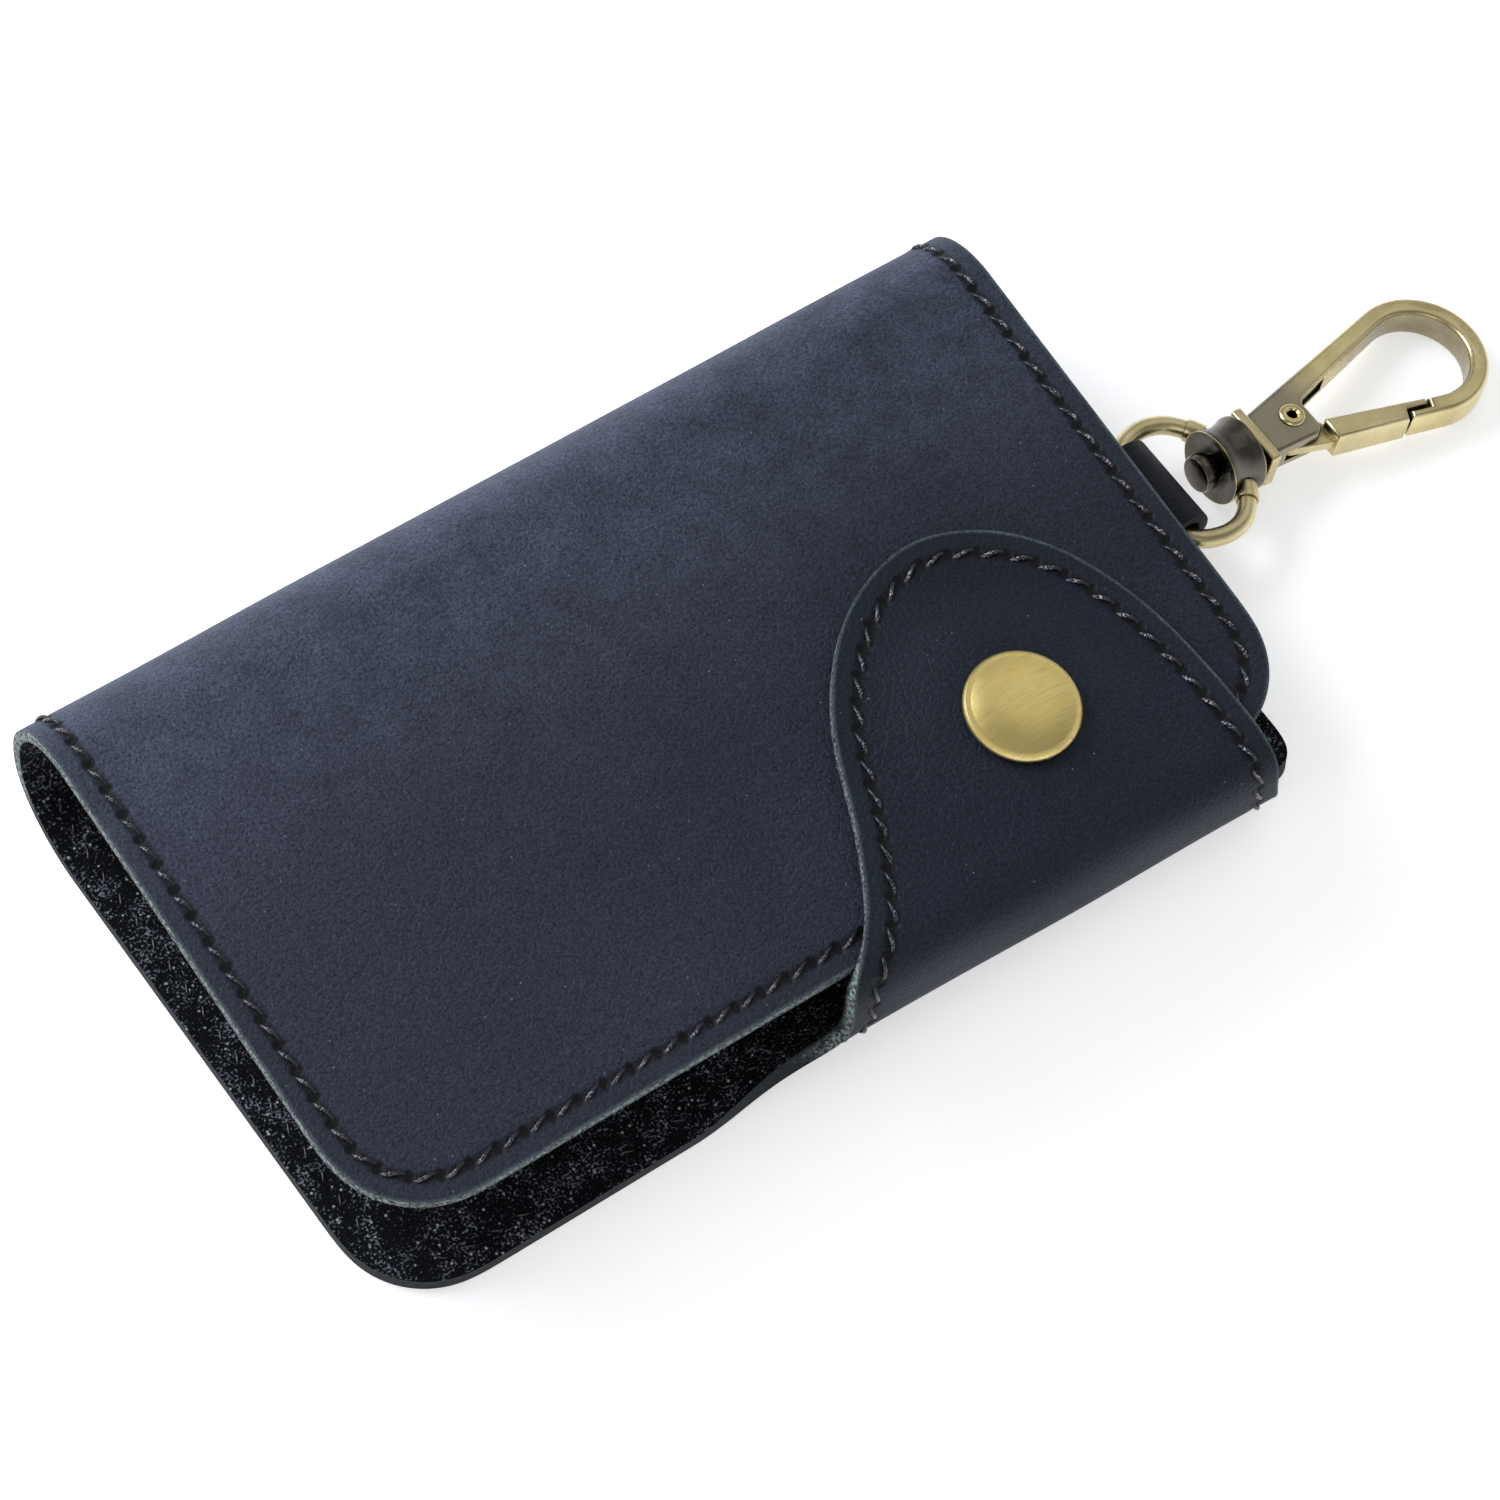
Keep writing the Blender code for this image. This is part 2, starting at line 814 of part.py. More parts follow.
strap_loop = strip("strap_loop", strap_path(), strap_width, strap_leather)
finish(strap_loop, leather("smooth leather, strap"))
strap_loop.location.y = bar_y

# Swivel eye: a D of wire whose far side is cast into a collar for the hook's stem.
# Everything from here to the gate is in the hook's own frame: X along it from the eye's bar.
tilt_axis = pivot("tilt_axis", (bar_x, bar_y, bar_height), (0, hook_tilt, 0))
collar_end = collar_start + collar_length
bore = stem_diameter + 2 * swivel_play


# The ring's half outline past its bar, as shares of its depth and of half its width
eye_outline_shares = ((0.34, 1.00), (0.70, 0.90), (0.97, 0.46), (1.00, 0.00))


def eye_path():
    bar = [Vector((0, 0)), Vector((0, eye_bar_half))]
    side = [Vector((eye_depth * along, eye_half_width * out)) for along, out in eye_outline_shares]
    half = smooth_through([*bar, *side], 4)
    other = [Vector((p.x, -p.y)) for p in reversed(half[1:-1])]
    return [(p.x, p.y, 0) for p in [*half, *other]]


swivel_eye = tube("swivel_eye", eye_path(), eye_wire, closed=True)
finish(swivel_eye, brass("antique brass, eye"), tilt_axis)
collar = turned(
    "eye_collar",
    [
        (0, collar_end),
        (collar_diameter / 2, collar_end),
        (collar_waist_diameter / 2, (collar_start + collar_end) / 2),
        (collar_diameter / 2, collar_start),
        (0, collar_start),
    ],
)
finish(collar, brass("collar"), tilt_axis, cutter=True)
collar.rotation_euler = (0, math.pi / 2, 0)
eye_bore = rod("eye_bore", bore, (collar_start - overrun, 0, 0), (collar_end + overrun, 0, 0))
finish(eye_bore, brass("bore"), tilt_axis, cutter=True)
boolean(swivel_eye, collar, "UNION")
boolean(swivel_eye, eye_bore, "DIFFERENCE")
smooth(swivel_eye)

# Snap hook: head, arm and bow in one outline, turned with its neck plate and headed stem
neck_start = collar_end + neck_gap
head_start = neck_start + neck_plate_length
swivel_axis = pivot("swivel_axis", (head_start, 0, 0), carrier=tilt_axis)
bow_x = hook_length - hook_bow_radius
inner_radius = hook_bow_radius - hook_wire


def flare(x, half, radius):
    """The angle at which a straight side leaves (x, half) to touch the bow's circle of this radius."""
    away = bow_x - x
    return math.asin(radius / math.hypot(away, half)) - math.atan(half / away)


def side_y(x, radius, angle):
    """Half the width between the straight sides that touch this circle."""
    return radius / math.cos(angle) - (bow_x - x) * math.tan(angle)


outer_flare = flare(0, hook_head_half_width, hook_bow_radius)
tongue_half = side_y(tongue_end, hook_bow_radius, outer_flare) - hook_arm_root
inner_flare = flare(tongue_end, tongue_half, inner_radius)


def outer_y(x):
    return side_y(x, hook_bow_radius, outer_flare)


def inner_y(x):
    return side_y(x, inner_radius, inner_flare)


def gate_outside(x):
    return -outer_y(x)


def gate_middle(x):
    return -(outer_y(x) + inner_y(x)) / 2


def gate_inside(x):
    return -inner_y(x)


def on_circle(radius, side, lift=0.0):
    """Where this line along the gate's side meets a circle about the gate's pivot."""
    x = gate_pivot_x + radius
    for _ in range(20):
        x = gate_pivot_x + math.sqrt(radius**2 - (side(x) + lift - gate_pivot_y) ** 2)
    return x, side(x) + lift


def hook_outline():
    outer_end = 90 + math.degrees(outer_flare)
    inner_end = 90 + math.degrees(inner_flare)
    bow = arc((bow_x, 0), hook_bow_radius, outer_end, -outer_end, 18)
    hollow = arc((bow_x, 0), inner_radius, -inner_end, inner_end, 16)
    lip = latch_radius
    step = latch_radius + latch_step
    crotch = tongue_end + gate_back_gap
    nose = [
        on_circle(lip, gate_outside),
        on_circle(lip, gate_middle),
        on_circle(step, gate_middle),
        on_circle(step, gate_inside),
    ]
    tongue = [
        (crotch, inner_y(crotch)),
        (tongue_end, inner_y(crotch) - gate_back_gap),
        *arc((tongue_end - tongue_corner, tongue_corner - tongue_drop), tongue_corner, 0, -90, 4),
        (hook_edge, -hook_head_half_width),
        (0, -hook_head_half_width),
    ]
    return [(0, outer_y(0)), *bow, *nose, *hollow, *tongue]


snap_hook = finish(
    plate("snap_hook", hook_outline(), hook_thickness, hook_edge), brass("antique brass, hook"), swivel_axis
)
half_head = head_slot_height / 2
head_slot = block(
    "head_slot",
    (head_slot_start, -hook_bow_radius, -half_head),
    (tongue_end + gate_back_gap, outer_y(gate_pivot_x) - head_slot_wall, half_head),
)
spring_slot = block(
    "spring_slot", (0, -spring_slot_depth, -half_head), (spring_slot_length, spring_slot_depth, half_head)
)
spring_slot.location = (tongue_end, inner_y(tongue_end), 0)
spring_slot.rotation_euler.z = inner_flare
neck_plate = block(
    "neck_plate",
    (neck_start - head_start, -neck_plate_width / 2, -neck_plate_height / 2),
    (hook_edge, neck_plate_width / 2, neck_plate_height / 2),
)
stem_start = collar_start - swivel_play - stem_head_length - head_start
stem = rod("stem", stem_diameter, (stem_start + stem_head_length / 2, 0, 0), (hook_edge, 0, 0))
stem_head = rod("stem_head", stem_head_diameter, (stem_start, 0, 0), (stem_start + stem_head_length, 0, 0))
rivet_hole = rod(
    "gate_rivet_hole",
    gate_rivet_shank + 2 * swivel_play,
    (gate_pivot_x, gate_pivot_y, -hook_thickness),
    (gate_pivot_x, gate_pivot_y, hook_thickness),
)
for piece, operation in (
    (neck_plate, "UNION"),
    (stem, "UNION"),
    (stem_head, "UNION"),
    (head_slot, "DIFFERENCE"),
    (spring_slot, "DIFFERENCE"),
    (rivet_hole, "DIFFERENCE"),
):
    finish(piece, brass(piece.name), swivel_axis, cutter=True)
    boolean(snap_hook, piece, operation)
smooth(snap_hook)

# Gate spring: a leaf that lies in the slot of the hook's arm
gate_spring = block(
    "gate_spring",
    (seat_gap, -spring_thickness / 2, -half_head + seat_gap),
    (spring_slot_length - seat_gap, spring_thickness / 2, half_head - seat_gap),
)
finish(gate_spring, dark_brass("spring brass, gate spring"), swivel_axis)
spring_offset = spring_slot_depth - seat_gap - spring_thickness / 2
gate_spring.location = spring_slot.location + Vector(
    (-math.sin(inner_flare) * spring_offset, math.cos(inner_flare) * spring_offset, 0)
)
gate_spring.rotation_euler.z = inner_flare

# Gate rivet: a hollow rivet through the hook's head and the gate's neck
rivet_top = hook_thickness / 2 + gate_rivet_stand
gate_rivet = finish(
    turned(
        "gate_rivet",
        [
            (gate_rivet_bore / 2, rivet_top),
            (gate_rivet_diameter / 2 - gate_rivet_stand / 2, rivet_top),
            (gate_rivet_diameter / 2, hook_thickness / 2 + seat_gap / 3),
            (gate_rivet_shank / 2, hook_thickness / 2 + seat_gap / 3),
            (gate_rivet_shank / 2, -hook_thickness / 2 - seat_gap / 3),
            (gate_rivet_diameter / 2, -hook_thickness / 2 - seat_gap / 3),
            (gate_rivet_diameter / 2 - gate_rivet_stand / 2, -rivet_top),
            (gate_rivet_bore / 2, -rivet_top),
            (gate_rivet_bore / 2, rivet_top),
        ],
    ),
    brass("antique brass, rivet"),
    swivel_axis,
)
gate_rivet.location = (gate_pivot_x, gate_pivot_y, 0)

# Gate: a full-thickness lever with a thin neck in the head's slot
gate_axis = pivot("gate_axis", (gate_pivot_x, gate_pivot_y, 0), carrier=swivel_axis)


def gate_outline():
    back = tongue_end + gate_back_gap
    lip = latch_radius - gate_tip_gap
    step = latch_radius + latch_step - gate_tip_gap
    corners = [
        (back + gate_edge, gate_inside(back)),
        (back, gate_inside(back) - gate_edge),
        (back, gate_outside(back)),
        on_circle(lip, gate_outside),
        on_circle(lip, gate_middle, gate_tip_gap),
        on_circle(step, gate_middle, gate_tip_gap),
        on_circle(step, gate_inside),
    ]
    return [(x - gate_pivot_x, y - gate_pivot_y) for x, y in corners]


def gate_neck_outline():
    back = tongue_end + 2 * gate_back_gap - gate_pivot_x
    lever = -(outer_y(tongue_end) + inner_y(tongue_end)) / 2 - gate_pivot_y
    return [
        *arc((0, 0), gate_neck_radius, 30, 270, 12),
        (back, lever - gate_neck_radius / 2),
        (back, lever + gate_neck_radius / 2),
    ]


hook_gate = finish(
    plate("hook_gate", gate_outline(), hook_thickness - 2 * gate_edge, gate_edge),
    brass("antique brass, gate"),
    gate_axis,
)
neck = finish(
    plate("gate_neck", gate_neck_outline(), gate_neck_thickness), dark_brass("neck"), gate_axis, cutter=True
)
gate_hole = rod(
    "gate_hole",
    gate_rivet_shank + 2 * swivel_play,
    (0, 0, -gate_neck_thickness),
    (0, 0, gate_neck_thickness),
)
finish(gate_hole, brass("gate hole"), gate_axis, cutter=True)
boolean(hook_gate, neck, "UNION")
boolean(hook_gate, gate_hole, "DIFFERENCE")
smooth(hook_gate)

# Key rail: a brass sheet rolled round the rod, riveted to a leather patch
roll_inner = rod_diameter / 2 + seat_gap
roll_outer = roll_inner + rail_sheet
patch_top = back_leather + seat_gap + patch_thickness
rail_height = patch_top + seat_gap + roll_outer
patch_start = rail_x + patch_margin
plate_end = rail_x + rail_plate_length
patch_end = plate_end + patch_overhang
rivet_x = (patch_start + plate_end) / 2

rail_patch = block(
    "rail_patch",
    (patch_start, -rail_length / 2 - patch_side, back_leather + seat_gap),
    (patch_end, rail_length / 2 + patch_side, patch_top),
)
finish(rail_patch, suede("suede, rail patch"))
rail_patch.location.y = rail_y


def rail_section():
    """The rail's section, X along and Y up, with the roll's centre at its origin."""
    outside = arc((0, 0), roll_outer, -90, -340, 16)
    inside = arc((0, 0), roll_inner, -340, -90, 14)
    return [
        (rail_plate_length, -roll_outer),
        *outside,
        *inside,
        (rail_plate_length, -roll_inner),
    ]


key_rail = finish(plate("key_rail", rail_section(), rail_length), brass("brass, key rail"))
key_rail.location = (rail_x, rail_y, rail_height)
key_rail.rotation_euler.x = math.pi / 2
for index in range(key_hook_count):
    place = (index - (key_hook_count - 1) / 2) * key_hook_pitch
    slot = block(
        "rail_slot_" + str(index + 1),
        (-roll_outer - overrun, -rail_slot / 2, -roll_outer - overrun),
        (patch_margin, rail_slot / 2, roll_outer + overrun),
    )
    finish(slot, brass(slot.name), cutter=True)
    slot.location = (rail_x, rail_y + place, rail_height)
    boolean(key_rail, slot, "DIFFERENCE")

rail_rod = finish(
    rod(
        "rail_rod",
        rod_diameter,
        (0, -rail_length / 2 - rod_overhang, 0),
        (0, rail_length / 2 + rod_overhang, 0),
        small_steps,
    ),
    dark_brass("brass, rail rod"),
)
rail_rod.location = (rail_x, rail_y, rail_height)

plate_top = rail_height - roll_inner
for index, side in enumerate((-1, 1)):
    y = rail_y + side * (rail_length / 2 - rail_rivet_inset)
    low = back_leather + seat_gap
    hole = rod(
        "rail_rivet_hole_" + str(index + 1),
        rail_rivet_shank + 2 * seat_gap,
        (rivet_x, y, -overrun),
        (rivet_x, y, plate_top + overrun),
        small_steps,
    )
    finish(hole, brass(hole.name), cutter=True)
    boolean(key_rail, hole, "DIFFERENCE")
    boolean(rail_patch, hole, "DIFFERENCE")
    head = plate_top + seat_gap
    rivet = finish(
        turned(
            "rail_rivet_" + str(index + 1),
            [
                (0, head + rail_rivet_dome),
                (rail_rivet_head / 4, head + rivet_shoulder_share * rail_rivet_dome),
                (rail_rivet_head / 2, head + seat_gap),
                (rail_rivet_head / 2, head),
                (rail_rivet_shank / 2, head),
                (rail_rivet_shank / 2, low),
                (0, low),
            ],
            small_steps,
        ),
        brass("brass, rail rivet " + str(index + 1)),
    )
    rivet.location = (rivet_x, y, 0)


# Key hooks: one bent wire each, an eye round the rod and a long open loop.
# The shoulder's points are shares of half the loop's width, along it and out from its middle.
key_shoulder_shares = ((0.0, 0.0), (1.0, 0.8), (2.2, 1.0))


def key_hook_path():
    eye_radius = rod_diameter / 2 + seat_gap + key_hook_wire / 2
    points = []
    for step in range(11):
        angle = math.radians(key_eye_turn * (1 - step / 10))
        points.append(Vector((eye_radius * math.sin(angle), 0, -eye_radius * math.cos(angle))))
    width = key_hook_half_width
    end = key_hook_length - width - key_hook_wire / 2
    shoulder = [(key_hook_shank + along * width, out * width) for along, out in key_shoulder_shares]
    other_side = [(x, -y) for x, y in reversed(shoulder[1:])]
    loop = [*shoulder, (end, width), *arc((end, 0), width, 60, -60, 4), (end, -width), *other_side]
    points += [Vector((-x, y, -eye_radius)) for x, y in loop]
    return points


for index in range(key_hook_count):
    place = (index - (key_hook_count - 1) / 2) * key_hook_pitch
    name = "key_hook_" + str(index + 1)
    key_hook = finish(tube(name, key_hook_path(), key_hook_wire, roundness=1), brass("brass, " + name))
    key_hook.location = (rail_x, rail_y + place, rail_height)
    key_hook.rotation_euler.y = -key_hook_drop
    smooth(key_hook)
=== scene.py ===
"""A leather key pouch with a snap tab and a swivel snap hook, finished over its CAD frame.

Lengths are in metres. X runs along the pouch towards the hook, Y across it towards the
spine fold and Z up. The sections follow the pouch as its maker puts it together.
"""

import math
from bisect import bisect_left
from functools import lru_cache

import bmesh
import bpy
from mathutils import Matrix, Vector, kdtree, noise


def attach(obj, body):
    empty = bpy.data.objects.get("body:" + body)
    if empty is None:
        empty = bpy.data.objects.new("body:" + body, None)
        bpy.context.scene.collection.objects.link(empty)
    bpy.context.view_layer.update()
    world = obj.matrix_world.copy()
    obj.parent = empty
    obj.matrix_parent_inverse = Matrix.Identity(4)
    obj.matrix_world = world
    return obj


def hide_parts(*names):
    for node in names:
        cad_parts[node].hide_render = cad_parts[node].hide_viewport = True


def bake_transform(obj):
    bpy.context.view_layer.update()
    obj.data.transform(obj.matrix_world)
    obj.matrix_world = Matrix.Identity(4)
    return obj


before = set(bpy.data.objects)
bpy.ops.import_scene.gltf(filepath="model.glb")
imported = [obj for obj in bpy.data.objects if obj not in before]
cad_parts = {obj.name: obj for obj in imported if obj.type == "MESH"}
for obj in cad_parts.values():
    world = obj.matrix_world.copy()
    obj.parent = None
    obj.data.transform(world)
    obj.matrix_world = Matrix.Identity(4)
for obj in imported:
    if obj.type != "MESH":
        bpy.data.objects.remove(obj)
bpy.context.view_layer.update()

# Camera: the photograph's own place, above the free edge at the hookless end and turned a
# little about its line of sight. A long lens on a small square of film, as for a catalogue.
def linked(name, data):
    """A new object in the scene."""
    obj = bpy.data.objects.new(name, data)
    bpy.context.scene.collection.objects.link(obj)
    return obj


view_azimuth = math.radians(228.354)
view_elevation = math.radians(59.013)
view_roll = math.radians(7.353)
view_distance = 0.5504
view_target = Vector((0.00978, -0.0006, 0))
level = math.cos(view_elevation)
towards = Vector(
    (level * math.cos(view_azimuth), level * math.sin(view_azimuth), math.sin(view_elevation))
)
across = Vector((0, 0, 1)).cross(towards).normalized()
upwards = towards.cross(across)
turned_across = across * math.cos(view_roll) + upwards * math.sin(view_roll)
turned_upwards = upwards * math.cos(view_roll) - across * math.sin(view_roll)
camera_data = bpy.data.cameras.new("camera")
camera_data.lens = 125.8
camera_data.sensor_width = 36
camera = linked("camera", camera_data)
camera.location = view_target + towards * view_distance
camera.rotation_euler = Matrix((turned_across, turned_upwards, towards)).transposed().to_euler()
bpy.context.scene.camera = camera
bpy.context.scene.view_settings.view_transform = "Standard"


# Studio: a white sweep of paper in a room with white walls and a dim ceiling. One wide soft lamp
# stands behind the spine fold, a weak one in front, and a dim panel hangs over the hook end.
# The paper lies over a low board and falls away before the free edge, which leaves room for the
# open tab. It is white to the camera and to polished metal, and still takes the shadow.
def linear(code):
    """An sRGB hex colour as the linear values that a shader takes."""
    parts = [int(code[i : i + 2], 16) / 255 for i in (1, 3, 5)]
    return (*[p / 12.92 if p <= 0.04045 else ((p + 0.055) / 1.055) ** 2.4 for p in parts], 1)


def feed(tree, node, inputs):
    """Links or sets each of these inputs of a shader node."""
    for key, value in inputs.items():
        if isinstance(value, bpy.types.NodeSocket):
            tree.links.new(value, node.inputs[key])
        else:
            node.inputs[key].default_value = value


def add(tree, kind, inputs=None, **settings):
    """One shader node, with its settings and its inputs."""
    node = tree.nodes.new("ShaderNode" + kind)
    for name, value in settings.items():
        setattr(node, name, value)
    feed(tree, node, inputs or {})
    return node


def softbox(name, place, size, power, tint):
    """A square lamp that faces the middle of the pouch."""
    lamp_data = bpy.data.lights.new(name, "AREA")
    lamp_data.shape = "SQUARE"
    lamp_data.size = size
    lamp_data.energy = power
    lamp_data.color = linear(tint)[:3]
    lamp = linked(name, lamp_data)
    lamp.location = place
    lamp.rotation_euler = (Vector(place) - view_target).to_track_quat("Z", "Y").to_euler()


softbox("lamp_behind_spine", (-0.24, 0.38, 0.40), 0.36, 2.7, "#f1f5ff")
softbox("panel_over_hook", (0.42, 0.15, 0.64), 0.62, 0.50, "#fffaf0")
softbox("lamp_in_front", (-0.45, -0.55, 0.60), 0.50, 0.9, "#fffaf2")

wall_top = 0.08
ceiling_edge = 0.62
wall_light = 0.90
ceiling_light = 0.27
room = bpy.data.worlds.new("pale room")
room.use_nodes = True
tree = room.node_tree
steepness = add(tree, "TexCoord").outputs["Generated"]
steepness = add(tree, "SeparateXYZ", {0: steepness}).outputs[2]
ends = {0: steepness, 1: wall_top, 2: ceiling_edge, 3: wall_light, 4: ceiling_light}
light = add(tree, "MapRange", ends, interpolation_type="SMOOTHSTEP").outputs[0]
feed(tree, tree.nodes["Background"], {"Color": linear("#f2f4f8"), "Strength": light})
bpy.context.scene.world = room

paper_size = 3.0
paper_drop = 0.00002
paper_glow = 0.50
fall_start = -0.0345
fall_run = 0.020
fall_depth = 0.006
fall_steps = 20


def cut_across(bm, point, normal, dist=1e-6, **options):
    """Cuts every face of a mesh along a plane."""
    options.update({"geom": bm.verts[:] + bm.edges[:] + bm.faces[:], "dist": dist})
    bmesh.ops.bisect_plane(bm, plane_co=point, plane_no=normal, **options)


def mesh_of(name, bm):
    """The finished mesh, once the working one is done with."""
    mesh = bpy.data.meshes.new(name)
    bm.to_mesh(mesh)
    bm.free()
    return mesh


bm = bmesh.new()
bmesh.ops.create_grid(bm, x_segments=1, y_segments=1, size=paper_size)
for step in range(fall_steps + 1):
    cut_across(bm, (0, fall_start - fall_run * step / fall_steps, 0), (0, 1, 0))
for vert in bm.verts:
    share = min(1, max(0, (fall_start - vert.co.y) / fall_run))
    vert.co.z = -paper_drop - fall_depth * share * share * (3 - 2 * share)
paper_mesh = mesh_of("paper_sweep", bm)
paper_mesh.shade_smooth()
paper = linked("paper_sweep", paper_mesh)
paper_look = bpy.data.materials.new("white paper, matt coated")
paper_look.use_nodes = True
tree = paper_look.node_tree
rays = add(tree, "LightPath").outputs
seen = {0: rays["Is Camera Ray"], 1: rays["Is Glossy Ray"]}
seen = add(tree, "Math", seen, operation="MAXIMUM").outputs[0]
seen = {0: seen, 1: rays["Is Transmission Ray"]}
seen = add(tree, "Math", seen, operation="MAXIMUM").outputs[0]
glow = add(tree, "Math", {0: seen, 1: paper_glow}, operation="MULTIPLY").outputs[0]
paper_inputs = {
    "Base Color": linear("#f6f7f9"),
    "Roughness": 0.95,
    "Specular IOR Level": 0.0,
    "Emission Color": (1, 1, 1, 1),
    "Emission Strength": glow,
}
feed(tree, tree.nodes["Principled BSDF"], paper_inputs)
paper_mesh.materials.append(paper_look)


# Leather: one hide, dyed through in blue-black, oiled and waxed on its grain side. The eye
# gets a matt, faintly clouded face with fine pores, a paler bloom where a fold stretches it,
# a greener margin outside the seam, and dark needle holes along the seam, painted as shade
# there and in the seam's groove. Light is painted too: paler towards the hookless end, and as a
# sheen down the cover's upper slope.
def new_look(name):
    """A new material, with its node tree and the piece's own coordinates."""
    look = bpy.data.materials.new(name)
    look.use_nodes = True
    return look, look.node_tree, add(look.node_tree, "TexCoord").outputs["Object"]


def dressed(look, inputs):
    """The look, once its shader has these inputs."""
    feed(look.node_tree, look.node_tree.nodes["Principled BSDF"], inputs)
    return look


def flecks(tree, place, scale, rarity, rim, heart, strength):
    """Small dots, in the few cells of a net that chance picks."""
    cells = add(tree, "TexVoronoi", {"Vector": place, "Scale": scale}).outputs
    chance = add(tree, "SeparateColor", {0: cells["Color"]}).outputs[0]
    picked = add(tree, "Math", {0: chance, 1: rarity}, operation="GREATER_THAN").outputs[0]
    dot = add(tree, "MapRange", {0: cells["Distance"], 1: rim, 2: heart, 4: strength}).outputs[0]
    return add(tree, "Math", {0: dot, 1: picked}, operation="MULTIPLY").outputs[0]


